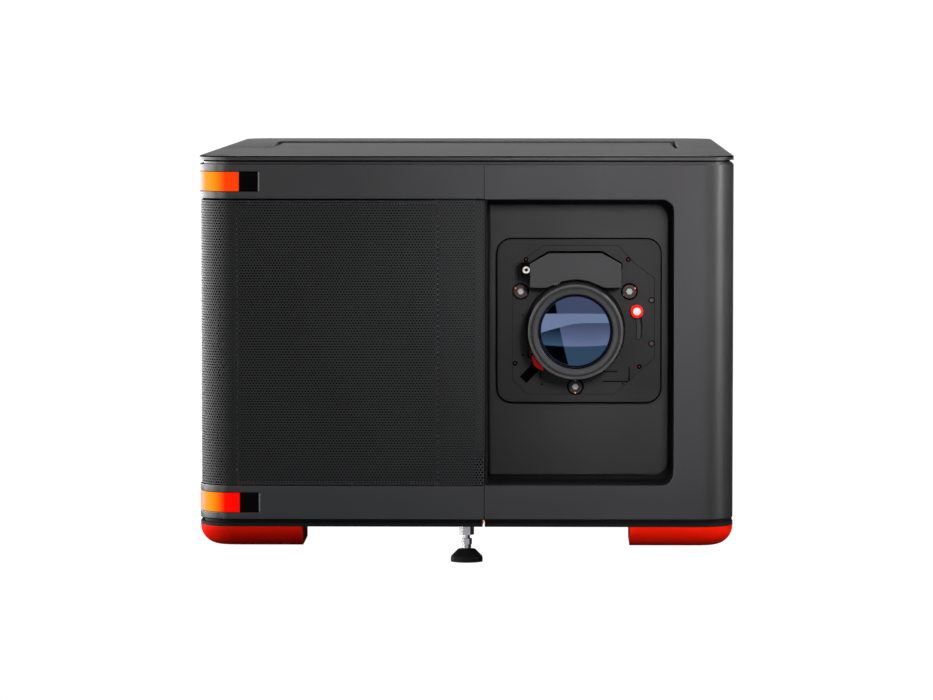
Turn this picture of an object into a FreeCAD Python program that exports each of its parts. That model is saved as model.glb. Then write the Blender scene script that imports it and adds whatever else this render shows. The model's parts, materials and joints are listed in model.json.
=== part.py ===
import FreeCAD, Part
import Sketcher
import math
import os
import re

# Large laser projector, standing on three levelling feet. Millimetres, +Z up, front face towards -Y,
# origin on the floor under the middle of the body.

DIMENSIONS = {
    # outer body
    "body_width": 756.5, "body_depth": 1130, "body_height": 580, "corner_radius": 50,
    "cover_gauge": 3, "cover_low": 65.7, "cover_high": 568.3,
    "base_low": 55.8, "base_high": 60.6,
    "lid_low": 573.6, "lid_edge_radius": 2.5, "side_vent_start": 170, "side_vent_low": 140,
    "side_vent_high": 490, "rear_vent_low": 262, "ports_left": 60, "ports_right": 280, "ports_low": 150,
    "ports_high": 300,
    # frame inside the covers
    "neck_inset": 6, "rail_width": 20, "low_rail_top": 70, "high_rail_low": 560, "post_x": 337,
    "post_y": 525, "post_half": 10, "mid_post_left": 39, "mid_post_right": 12, "mid_post_front": 558,
    "mid_post_rear": 540,
    # joints between covers
    "seam_x": 26.5, "seam_gap": 0.6, "wrap_y": 454, "grille_low": 115, "grille_high": 516.8,
    "lower_band_top": 114, "upper_band_low": 519, "grille_inset": 2, "grille_gauge": 1.5,
    "base_slot_width": 3, "base_slot_depth": 85,
    # corner status lights
    "light_height": 27, "upper_light_low": 530, "lower_light_low": 76.2, "light_end_x": 320,
    "light_end_y": 500, "window_end_x": 293, "light_gap": 0.3,
    # skids and feet
    "skid_size": 147, "skid_low": 27.3, "skid_round": 28,
    "foot_front_y": 499, "foot_rear_y": 480, "foot_rear_x": 205, "boss_flats": 18.2, "boss_low": 38.3,
    "stem_radius": 4.7, "stem_top": 110, "nut_flats": 13, "nut_low": 24.5, "nut_high": 32.9,
    "collar_radius": 6.4, "collar_low": 19.5, "collar_high": 23.9, "ball_radius": 5, "ball_height": 14.6,
    "pad_radius": 22.8, "pad_top_radius": 12.4, "pad_top": 20.2, "pad_shoulder": 8.3, "pad_rim": 5.6,
    # top
    "hatch_x": 307, "frame_strip_x": 314, "hatch_front_y": 120, "hatch_rear_y": 335, "hatch_step": 2.5,
    "hatch_low": 574, "lid_gap": 1, "dimple_radius": 12, "dimple_depth": 1.5, "screw_x": 339.5,
    "screw_front_y": 543, "screw_radius": 5,
    # lens bay
    "bay_right": 293.4, "bay_low": 115, "bay_high": 518, "bay_corner": 18, "bay_wall": 2.5,
    "panel_left": 32.7, "panel_right": 286.8, "panel_low": 122.1, "panel_high": 508.7,
    "panel_front": 474, "panel_gauge": 4, "panel_corner": 19, "bay_back": 466,
    # lens carriage
    "lens_x": 154.7, "lens_z": 331.6, "shift_x": 8, "lift_up": 20, "lift_down": 30,
    "plate_left": 110.8, "plate_right": 120.9, "plate_up": 127.4, "plate_down": 104.6,
    "plate_front": 482.5, "plate_rear": 474.5, "plate_corner": 20,
    "barrel_radius": 62, "tail_radius": 52, "tail_end": 380, "nose_radius": 67, "nose_front": 564,
    "gear_root": 68.8, "gear_tip": 71, "gear_teeth": 140, "gear_seat": 60, "gear_width": 12,
    "focus_front": 516, "zoom_front": 497, "run_clearance": 0.05,
    "pinion_teeth": 20, "pinion_distance": 80.3, "pinion_root": 8.75, "pinion_tip": 11, "shaft_radius": 3,
    "focus_pinion_deg": 112, "zoom_pinion_deg": 68,
    "housing_half": 64.8, "housing_low": 60.9, "housing_high": 109.6, "housing_shoulder": 94.6,
    "housing_crown": 37.4, "housing_front": 530,
    "well_radius": 12.2, "well_depth": 5, "adjuster_flats": 10, "adjuster_shaft": 4,
    "lever_inner": 62.1, "lever_ring": 66, "lever_tip": 95, "lever_gauge": 3, "lever_rest_deg": 16.1,
    "lever_travel_deg": 23, "lever_half_deg": 3, "slot_width": 7, "knob_radius": 8.8, "knob_track": 91,
    "stage_half_x": 110, "stage_half_z": 70, "stage_front": 465, "stage_rear": 445,
    "rod_radius": 8, "rod_spread": 95, "screw_offset": 75, "lift_screw_radius": 5, "rod_top": 520,
    "glass_radius": 51, "cell_radius": 45.9, "cell_rear": 476, "cell_front": 500,
    # doors
    "hinge_x": 372.25, "hinge_y": 447, "hinge_pin": 2.5, "knuckle_radius": 3.8, "knuckle_height": 30,
    "low_knuckle": 120, "high_knuckle": 514, "door_front_y": 452,
    "door_rear_y": 450, "latch_y": 425, "latch_z": 317, "latch_radius": 12.5,
    # power entry
    "inlet_x": 220, "inlet_z": 115, "rocker_x": 160, "rocker_y": 558, "button_x": 110, "button_radius": 8.2,
    # light engine and electronics
    "shutter_x": 215, "shutter_z": 370, "shutter_pin": 4, "engine_left": 60, "engine_right": 250,
    "engine_front": 374, "engine_rear": 120, "engine_low": 230, "engine_high": 440, "module_depth": 95,
    "module_height": 139, "supply_left": 330, "supply_right": 120, "supply_front": 40,
    "supply_rear": 420, "supply_height": 140, "board_pitch": 40, "board_gauge": 2.4,
    "board_front": 380, "board_high": 500,
    # cooling
    "filter_left": 322, "filter_right": 42, "filter_front": 557, "filter_rear": 536, "filter_low": 119,
    "filter_high": 512, "radiator_front": 525, "radiator_rear": 480, "radiator_right": 45, "fin_low": 70,
    "fin_pitch": 14, "fin_gauge": 3, "tank_width": 4, "tank_high": 505, "fan_x": 182, "fan_frame": 184,
    "fan_radius": 84, "fan_bore": 87, "hub_radius": 28, "blade_count": 7, "upper_fan_z": 416,
    "lower_fan_z": 218, "exhaust_x": 190, "exhaust_z": 350, "rotor_depth": 20,
}

doc = FreeCAD.newDocument("projector")
sheet = doc.addObject("Spreadsheet::Sheet", "dims")
for row, (alias, number) in enumerate(DIMENSIONS.items(), start=1):
    sheet.set(f"A{row}", alias)
    sheet.set(f"B{row}", str(number))
    sheet.setAlias(f"B{row}", alias)
doc.recompute()

parts = {}


def size(alias):
    """A driving dimension, read from the sheet."""
    return float(sheet.get(alias))


def in_sheet(formula):
    """The formula with the sheet's name before each word that the sheet knows."""
    def prefix(word):
        return "dims." + word.group(0) if word.group(0) in DIMENSIONS else word.group(0)
    return re.sub(r"[a-z_]{3,}[a-z0-9_]*", prefix, str(formula))


def bind(item, prop, formula):
    """Tie a property to a formula of the sheet's names."""
    item.setExpression(prop, in_sheet(formula))


def worth(formula):
    """What a formula comes to now."""
    return float(sheet.evalExpression(in_sheet(formula)))


def place(item, x="0", y="0", z="0"):
    for axis, formula in (("x", x), ("y", y), ("z", z)):
        bind(item, f"Placement.Base.{axis}", formula)
    return item


def box(x_span, y_span, z_span, name="block"):
    """A box between low and high formulas on each axis."""
    item = doc.addObject("Part::Box", name)
    for prop, (low, high) in (("Length", x_span), ("Width", y_span), ("Height", z_span)):
        bind(item, prop, f"({high}) - ({low})")
    return place(item, x_span[0], y_span[0], z_span[0])


AXES = {"x": FreeCAD.Rotation(FreeCAD.Vector(0, 1, 0), 90),
        "y": FreeCAD.Rotation(FreeCAD.Vector(1, 0, 0), -90),
        "z": FreeCAD.Rotation()}


def rod(radius, axis, centre, span, name="rod"):
    """A cylinder along an axis: centre holds the two other coordinates, span its low and high end."""
    item = doc.addObject("Part::Cylinder", name)
    bind(item, "Radius", radius)
    bind(item, "Height", f"({span[1]}) - ({span[0]})")
    item.Placement.Rotation = AXES[axis]
    where = list(centre)
    where.insert("xyz".index(axis), span[0])
    return place(item, *where)


def cut(base, *tools, name="cut"):
    for tool in tools:
        item = doc.addObject("Part::Cut", name)
        item.Base = base
        item.Tool = tool
        base = item
    return base


def fuse(*items, name="fuse"):
    item = doc.addObject("Part::MultiFuse", name)
    item.Shapes = list(items)
    return item


def common(first, second, name="region"):
    item = doc.addObject("Part::Common", name)
    item.Base = first
    item.Tool = second
    return item


def group(*items, name="group"):
    item = doc.addObject("Part::Compound", name)
    item.Links = list(items)
    return item


def mirrored(item, normal, name="mirror"):
    twin = doc.addObject("Part::Mirroring", name)
    twin.Source = item
    twin.Normal = FreeCAD.Vector(*normal)
    return twin


def node(name, item):
    """Give a finished sub-part its own name; the name is also its file's."""
    item.Label = name
    parts[name] = item
    return item


def sketch_on(body, role):
    sketch = body.newObject("Sketcher::SketchObject", "outline")
    plane = next(f for f in body.Origin.OriginFeatures if f.Role == role)
    sketch.AttachmentSupport = [(plane, "")]
    sketch.MapMode = "FlatFace"
    return sketch


def polygon(body, role, points):
    """A closed sketch whose corners are formulas."""
    sketch = sketch_on(body, role)
    count = len(points)
    spots = [FreeCAD.Vector(worth(across), worth(up), 0) for across, up in points]
    for i in range(count):
        sketch.addGeometry(Part.LineSegment(spots[i], spots[(i + 1) % count]))
    for i in range(count):
        sketch.addConstraint(Sketcher.Constraint("Coincident", i, 2, (i + 1) % count, 1))
    for i, (across, up) in enumerate(points):
        for kind, formula in (("DistanceX", across), ("DistanceY", up)):
            number = sketch.addConstraint(Sketcher.Constraint(kind, -1, 1, i, 1, worth(formula)))
            bind(sketch, f"Constraints[{number}]", formula)
    return sketch


def slab(role, points, thickness, x="0", y="0", z="0", name="slab", rounds=()):
    """A padded outline with some of its through edges rounded: rounds holds (radius, chooser) pairs."""
    body = doc.addObject("PartDesign::Body", name)
    pad = body.newObject("PartDesign::Pad", "pad")
    pad.Profile = polygon(body, role, points)
    bind(pad, "Length", thickness)
    doc.recompute()
    tip = pad
    for radius, chooser in rounds:
        edges = [f"Edge{i + 1}" for i, edge in enumerate(tip.Shape.Edges) if chooser(edge)]
        fillet = body.newObject("PartDesign::Fillet", "round")
        fillet.Base = (tip, edges)
        bind(fillet, "Radius", radius)
        doc.recompute()
        tip = fillet
    body.Tip = tip
    return place(body, x, y, z)


def along(axis, test=lambda point: True):
    """Choose straight edges along an axis whose middle point passes a test."""
    index = "XYZ".index(axis)

    def chooser(edge):
        if edge.Curve.TypeId != "Part::GeomLine" or len(edge.Vertexes) != 2:
            return False
        direction = edge.Vertexes[1].Point - edge.Vertexes[0].Point
        return abs(direction[index]) > 0.999 * direction.Length and test(edge.CenterOfMass)
    return chooser


def turned(points, name="turned"):
    """A solid turned about Z from a closed profile of (radius, height) formulas."""
    body = doc.addObject("PartDesign::Body", name)
    turn = body.newObject("PartDesign::Revolution", "turn")
    sketch = polygon(body, "XZ_Plane", points)
    turn.Profile = sketch
    turn.ReferenceAxis = (sketch, ["V_Axis"])
    turn.Angle = 360
    doc.recompute()
    return body


def turned_lens(points, name="turned"):
    """The same about the lens axis: heights run from the origin plane towards the front."""
    body = turned(points, name)
    body.Placement.Rotation = FreeCAD.Rotation(FreeCAD.Vector(1, 0, 0), 90)
    return place(body, "lens_x", "0", "lens_z")


def hexagon(flats):
    """Corner formulas of a hexagon of this width across flats."""
    return [(f"({flats}) / sqrt(3) * cos({60 * i})", f"({flats}) / sqrt(3) * sin({60 * i})")
            for i in range(6)]


def outline(inset, low, high, name="outline", top_round=None):
    """The body's plan with its rounded corners, set in all round."""
    half_x = f"body_width / 2 - ({inset})"
    half_y = f"body_depth / 2 - ({inset})"
    corners = [(f"-({half_x})", f"-({half_y})"), (half_x, f"-({half_y})"),
               (half_x, half_y), (f"-({half_x})", half_y)]
    rounds = [(f"corner_radius - ({inset})", along("Z"))]
    if top_round:
        rounds.append((top_round, on_top))
    return slab("XY_Plane", corners, f"({high}) - ({low})", z=low, name=name, rounds=rounds)


def on_top(edge):
    """Edges that lie in the plane of the lid's upper face."""
    rise = size("body_height") - size("lid_low")
    return all(abs(vertex.Point.z - rise) < 1e-6 for vertex in edge.Vertexes)


def shell(inset, gauge, low, high, name="shell"):
    return cut(outline(inset, low, high), outline(f"({inset}) + ({gauge})", low, high), name=name)


def bay_prism(left, right, low, high, corner, front, rear, name="bay"):
    """A block across the lens bay whose two right corners are rounded."""
    middle = size("lens_x")
    corners = [(left, low), (right, low), (right, high), (left, high)]
    return slab("XZ_Plane", corners, f"({front}) - ({rear})", y=f"-({rear})", name=name,
                rounds=[(corner, along("Y", lambda point: point.x > middle))])


def lens_rod(radius, side, up, front, rear, name="rod"):
    """A cylinder along the lens axis direction, placed from the lens axis."""
    return rod(radius, "y", (f"lens_x + ({side})", f"lens_z + ({up})"), (f"-({front})", f"-({rear})"), name)


def toothed_ring(teeth, root, tip, bore, front, width, centre, phase, name):
    """A spur ring: trapezoid teeth about an axis parallel to Y."""
    pitch = 2 * math.pi / teeth
    points = []
    for i in range(teeth):
        for offset, radius in ((-0.30, root), (-0.13, tip), (0.13, tip), (0.30, root)):
            angle = phase + (i + offset) * pitch
            points.append(FreeCAD.Vector(radius * math.cos(angle), 0, radius * math.sin(angle)))
    blank = Part.Face(Part.makePolygon(points + points[:1])).extrude(FreeCAD.Vector(0, width, 0))
    if bore:
        hole = Part.makeCylinder(bore, width, FreeCAD.Vector(), FreeCAD.Vector(0, 1, 0))
        blank = blank.cut(hole)
    item = doc.addObject("Part::Feature", name)
    item.Shape = blank
    item.Placement.Base = FreeCAD.Vector(centre[0], -front, centre[1])
    return item


# ---------------------------------------------------------------- base, frame and feet

FEET = {"front": ("0", "-foot_front_y"), "rear_left": ("-foot_rear_x", "foot_rear_y"),
        "rear_right": ("foot_rear_x", "foot_rear_y")}


BASE_SLOT_X = ("seam_x - 1.4 - base_slot_width / 2", "seam_x - 1.4 + base_slot_width / 2")


def make_base():
    plate = outline("0", "base_low", "base_high")
    slot = box(BASE_SLOT_X, ("-body_depth / 2 - 1", "-body_depth / 2 + base_slot_depth"),
               ("base_low - 1", "base_high + 1"))
    holes = [rod("stem_radius + run_clearance", "z", spot, ("base_low - 1", "base_high + 1"))
             for spot in FEET.values()]
    node("base_plate", cut(plate, slot, *holes))


def make_frame():
    rails = []
    for low, high in (("base_high", "low_rail_top"), ("high_rail_low", "lid_low")):
        rails.append(cut(outline("neck_inset", low, high), outline("neck_inset + rail_width", low, high)))
    slot = box(BASE_SLOT_X, ("-body_depth / 2", "-body_depth / 2 + base_slot_depth"),
               ("base_high - 1", "cover_low"))
    hinge_notch = box(("-body_width / 2", "-hinge_x + 9"), ("hinge_y - 7", "hinge_y + 9"),
                      ("base_high - 1", "lid_low + 1"))
    posts = []
    for side in ("-post_x", "post_x"):
        for depth in ("-post_y", "post_y"):
            posts.append(box((f"{side} - post_half", f"{side} + post_half"),
                             (f"{depth} - post_half", f"{depth} + post_half"),
                             ("low_rail_top", "high_rail_low")))
    mid_post = box(("-mid_post_left", "mid_post_right"), ("-mid_post_front", "-mid_post_rear"),
                   ("low_rail_top", "high_rail_low"))
    rails = [cut(rails[0], slot, hinge_notch), cut(rails[1], hinge_notch)]
    node("chassis_frame", fuse(*rails, mid_post, *posts))


def make_feet():
    bosses = []
    for name, (x, y) in FEET.items():
        boss = slab("XY_Plane", hexagon("boss_flats"), "base_low - boss_low", x, y, "boss_low")
        bore = rod("stem_radius + run_clearance", "z", (x, y), ("boss_low - 1", "base_low + 1"))
        bosses.append(cut(boss, bore))
        stem = rod("stem_radius", "z", (x, y), ("collar_low", "stem_top"))
        nut = slab("XY_Plane", hexagon("nut_flats"), "nut_high - nut_low", x, y, "nut_low")
        collar = rod("collar_radius", "z", (x, y), ("collar_low", "collar_high"))
        ball = doc.addObject("Part::Sphere", "ball")
        bind(ball, "Radius", "ball_radius")
        place(ball, x, y, "ball_height")
        neck = rod("3", "z", (x, y), ("ball_height", "collar_low"))
        node(f"foot_stem_{name}", fuse(stem, nut, collar, neck, ball))
        pad = turned([("0", "0"), ("pad_radius", "0"), ("pad_radius", "pad_rim"),
                      ("pad_radius - 1", "pad_shoulder"), ("pad_top_radius", "pad_top - 2.5"),
                      ("0", "pad_top - 2.5")])
        place(pad, x, y)
        socket = doc.addObject("Part::Sphere", "socket")
        bind(socket, "Radius", "ball_radius + run_clearance")
        place(socket, x, y, "ball_height")
        mouth = rod("ball_radius", "z", (x, y), ("ball_height", "pad_top"))
        node(f"foot_pad_{name}", cut(pad, socket, mouth))
    node("foot_bosses", group(*bosses))


def make_skids():
    corners = [("-body_width / 2", "-body_depth / 2"), ("-body_width / 2 + skid_size", "-body_depth / 2"),
               ("-body_width / 2 + skid_size", "-body_depth / 2 + skid_size"),
               ("-body_width / 2", "-body_depth / 2 + skid_size")]
    left = -size("body_width") / 2
    front = -size("body_depth") / 2
    inner = size("skid_size") - 1

    def outer_bottom(edge):
        middle = edge.CenterOfMass
        flat = all(abs(vertex.Point.z) < 1e-6 for vertex in edge.Vertexes)
        return flat and middle.x < left + inner and middle.y < front + inner

    skid = slab("XY_Plane", corners, "base_low - skid_low", z="skid_low", name="skid", rounds=[
        ("corner_radius", along("Z", lambda point: point.x < left + 1 and point.y < front + 1)),
        ("skid_round", outer_bottom)])
    twins = [skid, mirrored(skid, (1, 0, 0)), mirrored(skid, (0, 1, 0))]
    twins.append(mirrored(twins[1], (0, 1, 0)))
    node("corner_skids", group(*twins))


# ---------------------------------------------------------------- covers

def cover_regions():
    """The covers are one folded wall, parted at its seams."""
    wall = shell("0", "cover_gauge", "cover_low", "cover_high", "wall")
    reach = ("cover_low - 1", "cover_high + 1")
    left = "-body_width / 2 - 1"
    right = "body_width / 2 + 1"
    front_y = ("-body_depth / 2 - 1", "-wrap_y")
    make_front_cover(common(wall, box(("seam_x", right), front_y, reach)))
    band_x = (left, "seam_x - seam_gap")
    cutters = light_blocks()
    upper = common(wall, box(band_x, front_y, ("upper_band_low", "cover_high + 1")))
    node("upper_band", cut(upper, cutters["upper"]))
    lower = common(wall, box(band_x, front_y, ("cover_low - 1", "lower_band_top")))
    node("lower_band", cut(lower, cutters["lower"]))
    make_lights(wall)
    side = common(wall, box(("body_width / 2 - 60", right), ("-wrap_y + 1.2", "wrap_y - 1.2"), reach))
    vents = [box(("body_width / 2 - 10", "body_width / 2 + 10"),
                 (f"side_vent_start + {24 * i}", f"side_vent_start + {24 * i + 12}"),
                 ("side_vent_low", "side_vent_high")) for i in range(10)]
    node("right_side_panel", cut(side, *vents))
    make_rear(common(wall, box((left, right), ("wrap_y", "body_depth / 2 + 1"), reach)))
    make_door(common(wall, box((left, "-body_width / 2 + 60"), ("-door_front_y", "door_rear_y"),
                               ("cover_low + 0.5", "cover_high - 0.5"))))


def light_blocks():
    """Blocks that cut the corner lights out of the bands, a gap larger than the lights."""
    blocks = {}
    for level in ("upper", "lower"):
        low = f"{level}_light_low"
        span = (f"{low} - light_gap", f"{low} + light_height + light_gap")
        blocks[level] = fuse(box(("-body_width / 2 - 1", "-window_end_x + light_gap"),
                                 ("-body_depth / 2 - 1", "-body_depth / 2 + corner_radius"), span),
                             box(("-body_width / 2 - 1", "-body_width / 2 + corner_radius"),
                                 ("-body_depth / 2 - 1", "-light_end_y + light_gap"), span))
    return blocks


def make_lights(wall):
    lights = []
    windows = []
    for level in ("upper", "lower"):
        low = f"{level}_light_low"
        span = (low, f"{low} + light_height")
        lights.append(common(wall, box(("-body_width / 2 - 1", "-light_end_x"),
                                       ("-body_depth / 2 - 1", "-light_end_y"), span)))
        windows.append(common(wall, box(("-light_end_x + light_gap", "-window_end_x"),
                                        ("-body_depth / 2 - 1", "-body_depth / 2 + 10"), span)))
    node("status_lights", group(*lights))
    node("status_windows", group(*windows))


def make_front_cover(region):
    opening = bay_prism("seam_x - 10", "bay_right", "bay_low", "bay_high", "bay_corner",
                        "body_depth / 2 + 5", "body_depth / 2 - 20")
    node("front_cover", cut(region, opening))


def make_rear(region):
    """Rear panel with the exhaust slots and the openings for ports, inlet, switch and button."""
    wall_y = ("body_depth / 2 - 8", "body_depth / 2 + 2")
    cuts = [box(("-exhaust_x - 80", "-exhaust_x + 80"), wall_y,
                (f"rear_vent_low + {20 * i}", f"rear_vent_low + {20 * i + 10}")) for i in range(9)]
    cuts.append(box(("ports_left", "ports_right"), wall_y, ("ports_low", "ports_high")))
    entry_z = ("inlet_z - 15.5", "inlet_z + 15.5")
    cuts.append(box(("inlet_x - 20.5", "inlet_x + 20.5"), wall_y, entry_z))
    cuts.append(box(("rocker_x - 10.5", "rocker_x + 10.5"), wall_y, entry_z))
    cuts.append(rod("button_radius + 0.3", "y", ("button_x", "inlet_z"), wall_y))
    node("rear_panel", cut(region, *cuts))


def make_door(region):
    """Side door on three knuckles, with its quarter-turn latch."""
    left = "-body_width / 2"
    latch_hole = rod("latch_radius + run_clearance", "x", ("-latch_y", "latch_z"),
                     (f"{left} - 5", f"{left} + 10"))
    pieces = [cut(region, latch_hole)]
    hinge = ("-hinge_x", "hinge_y")
    for middle in ("low_knuckle", "latch_z", "high_knuckle"):
        span = (f"{middle} - knuckle_height / 2", f"{middle} + knuckle_height / 2")
        arm = box((f"{left} + cover_gauge - 0.5", "-hinge_x"), ("hinge_y - 4", "hinge_y + 2"), span)
        barrel = rod("knuckle_radius", "z", hinge, span)
        pieces.append(cut(fuse(arm, barrel), rod("hinge_pin + run_clearance", "z", hinge, span)))
    node("service_door", fuse(*pieces))
    node("door_hinge_rod", rod("hinge_pin", "z", hinge, ("low_rail_top", "high_rail_low")))
    barrel = rod("latch_radius", "x", ("-latch_y", "latch_z"), (f"{left} + 0.4", f"{left} + 14"))
    key_slot = box((left, f"{left} + 3"), ("-latch_y - 8", "-latch_y + 8"),
                   ("latch_z - 1.5", "latch_z + 1.5"))
    cam = box((f"{left} + 14", f"{left} + 18"), ("-latch_y - 9", "-latch_y + 9"),
              ("latch_z - 9", "latch_z + 42"))
    node("door_latch", fuse(cut(barrel, key_slot), cam))


def make_grille():
    wall = shell("grille_inset", "grille_gauge", "grille_low", "grille_high")
    reach = box(("-body_width / 2", "seam_x - 0.7"), ("-body_depth / 2", "-wrap_y"),
                ("grille_low", "grille_high"))
    node("intake_grille", common(wall, reach))
    width = ("-filter_left", "-filter_right")
    mat = box(width, ("-filter_front", "-filter_rear"), ("filter_low", "filter_high"))
    spine = box(width, ("-filter_front - 4.5", "-filter_front"), ("312", "318"))
    node("air_filter", fuse(mat, spine))


def make_top():
    lid = outline("0", "lid_low", "body_height", "lid", "lid_edge_radius")
    reach = ("lid_low - 1", "body_height + 1")
    width = ("-body_width / 2 - 1", "body_width / 2 + 1")
    front = common(lid, box(width, ("-body_depth / 2 - 1", "-hatch_front_y - lid_gap"), reach))
    sides = ("-screw_x", "screw_x")
    dimple_floor = "body_height - dimple_depth"
    dimples = [rod("dimple_radius", "z", (side, "-screw_front_y"), (dimple_floor, "body_height + 1"))
               for side in sides]
    node("top_front_cover", cut(front, *dimples))
    rear = common(lid, box(width, ("-hatch_front_y", "body_depth / 2 + 1"), reach))
    well = box(("-frame_strip_x", "frame_strip_x"), ("-hatch_front_y - 5", "hatch_rear_y + 1"), reach)
    node("top_rear_frame", cut(rear, well))
    hatch_front = "-hatch_front_y + 0.6"
    hatch = slab("XY_Plane", [("-hatch_x", hatch_front), ("hatch_x", hatch_front),
                              ("hatch_x", "hatch_rear_y"), ("-hatch_x", "hatch_rear_y")],
                 "body_height - hatch_step - hatch_low", z="hatch_low", name="hatch")
    node("top_hatch", hatch)
    screws = [rod("screw_radius", "z", (side, "-screw_front_y"), (dimple_floor, "body_height - 0.3"))
              for side in sides]
    node("cover_screws", group(*screws))


# ---------------------------------------------------------------- lens bay and carriage

def make_bay():
    outer = bay_prism("seam_x + 0.3", "bay_right + bay_wall", "bay_low - bay_wall", "bay_high + bay_wall",
                      "bay_corner + bay_wall", "body_depth / 2 - cover_gauge", "bay_back")
    inner = bay_prism("seam_x + 0.3 + bay_wall", "bay_right", "bay_low", "bay_high", "bay_corner",
                      "body_depth / 2 + 5", "bay_back + panel_gauge")
    mouth = box(("lens_x - tail_radius - shift_x - 3", "lens_x + tail_radius + shift_x + 3"),
                ("-panel_front - 5", "-bay_back + 5"),
                ("lens_z - tail_radius - lift_down - 2", "lens_z + tail_radius + lift_up + 2"))
    node("bay_tunnel", cut(outer, inner, mouth))
    panel = bay_prism("panel_left", "panel_right", "panel_low", "panel_high", "panel_corner",
                      "panel_front", "panel_front - panel_gauge")
    node("bay_panel", cut(panel, mouth))


def around_lens(points):
    return [(f"lens_x + ({side})", f"lens_z + ({up})") for side, up in points]


def make_lens_plate():
    """Plate that carries the barrel, with sunk adjusters, sockets and the lever's slot."""
    in_front = "plate_front + 5"
    behind = "plate_rear - 5"
    plate = slab("XZ_Plane", around_lens([("-plate_left", "-plate_down"), ("plate_right", "-plate_down"),
                                          ("plate_right", "plate_up"), ("-plate_left", "plate_up")]),
                 "plate_front - plate_rear", y="-plate_rear", name="plate",
                 rounds=[("plate_corner", along("Y"))])
    recess = slab("XZ_Plane", around_lens([("-45", "119"), ("61", "119"), ("84", "94"), ("113", "72"),
                                           ("113", "-42"), ("55", "-94"), ("-69", "-94"), ("-90", "-73"),
                                           ("-90", "90"), ("-66", "105")]),
                  "5", y="-plate_front + 0.5", name="recess")
    tools = [recess, lens_rod("barrel_radius", "0", "0", in_front, behind)]
    for side, up in ADJUSTERS:
        tools.append(lens_rod("well_radius", side, up, in_front, "plate_front - well_depth"))
        tools.append(lens_rod("adjuster_shaft + run_clearance", side, up, in_front, behind))
    for side, up in (("-70.5", "98.7"), ("75.2", "98.7"), ("-86", "-49.7"), ("91.1", "-54.2")):
        tools.append(lens_rod("3.4", side, up, in_front, behind))
    tools.append(lever_channel())
    tools.append(lever_slot())
    body = cut(plate, *tools)
    cover_box = slab("XZ_Plane", around_lens([("38.5", "-74.4"), ("71", "-74.4"), ("76", "-69"),
                                              ("76", "-46.4"), ("38.5", "-46.4")]),
                     "4", y="-plate_front + 0.6", name="box")
    cover_box = cut(cover_box, lens_rod("gear_tip + 1", "0", "0", "plate_front + 9", behind))
    node("lens_plate", fuse(body, cover_box))


ADJUSTERS = (("-78", "53"), ("77", "53"), ("0", "-83"))


def sector(inner, outer, low_deg, high_deg, front, rear, name):
    """Part of a ring about the lens axis, between two angles above the horizontal."""
    bore = lens_rod(inner, "0", "0", f"{front} + 1", f"{rear} - 1")
    ring = cut(lens_rod(outer, "0", "0", front, rear), bore)
    corners = [("0", "0")]
    for angle in (low_deg, f"(({low_deg}) + ({high_deg})) / 2", high_deg):
        corners.append((f"2 * ({outer}) * cos({angle})", f"2 * ({outer}) * sin({angle})"))
    wedge = slab("XZ_Plane", around_lens(corners), f"({front}) - ({rear})", y=f"-({rear})", name="wedge")
    return common(ring, wedge, name=name)


def lever_channel():
    """Room behind the lens plate for the locking ring and the swing of its lever."""
    ring = lens_rod("lever_ring + 1", "0", "0", "plate_rear + 4", "plate_rear - 5")
    swing = sector("barrel_radius", "lever_tip + 2", "lever_rest_deg - lever_travel_deg - lever_half_deg - 2",
                   "lever_rest_deg + lever_half_deg + 2", "plate_rear + 4", "plate_rear - 5", "swing")
    return fuse(ring, swing)


def lever_slot():
    """The curved slot that the knob's stem runs in."""
    arc = sector("knob_track - slot_width / 2", "knob_track + slot_width / 2",
                 "lever_rest_deg - lever_travel_deg", "lever_rest_deg",
                 "plate_front + 5", "plate_rear - 5", "arc")
    ends = [lens_rod("slot_width / 2", f"knob_track * cos({angle})", f"knob_track * sin({angle})",
                     "plate_front + 5", "plate_rear - 5")
            for angle in ("lever_rest_deg", "lever_rest_deg - lever_travel_deg")]
    return fuse(arc, *ends)


def make_lever():
    rear = "plate_rear + 0.5"
    front = f"{rear} + lever_gauge"
    bore = lens_rod("lever_inner", "0", "0", f"{front} + 1", f"{rear} - 1")
    ring = cut(lens_rod("lever_ring", "0", "0", front, rear), bore)
    arm = sector("lever_ring - 1", "lever_tip", "lever_rest_deg - lever_half_deg",
                 "lever_rest_deg + lever_half_deg", front, rear, "arm")
    spot = ("knob_track * cos(lever_rest_deg)", "knob_track * sin(lever_rest_deg)")
    stem = lens_rod("slot_width / 2 - 0.5", *spot, "plate_front + 3", rear)
    knob = lens_rod("knob_radius", *spot, "plate_front + 11", "plate_front + 1")
    node("lock_lever", fuse(ring, arm, stem, knob))


def make_adjusters():
    for number, (side, up) in enumerate(ADJUSTERS, start=1):
        corners = [(f"{side} + {x}", f"{up} + {z}") for x, z in hexagon("adjuster_flats")]
        head = slab("XZ_Plane", around_lens(corners), "4", y="-plate_front + well_depth - 1.3", name="head")
        washer = lens_rod("8", side, up, "plate_front - well_depth + 1.3", "plate_front - well_depth + 0.3")
        shaft = lens_rod("adjuster_shaft", side, up, "plate_front - well_depth + 1.3", "plate_rear")
        node(f"adjuster_screw_{number}", fuse(head, washer, shaft))


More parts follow.
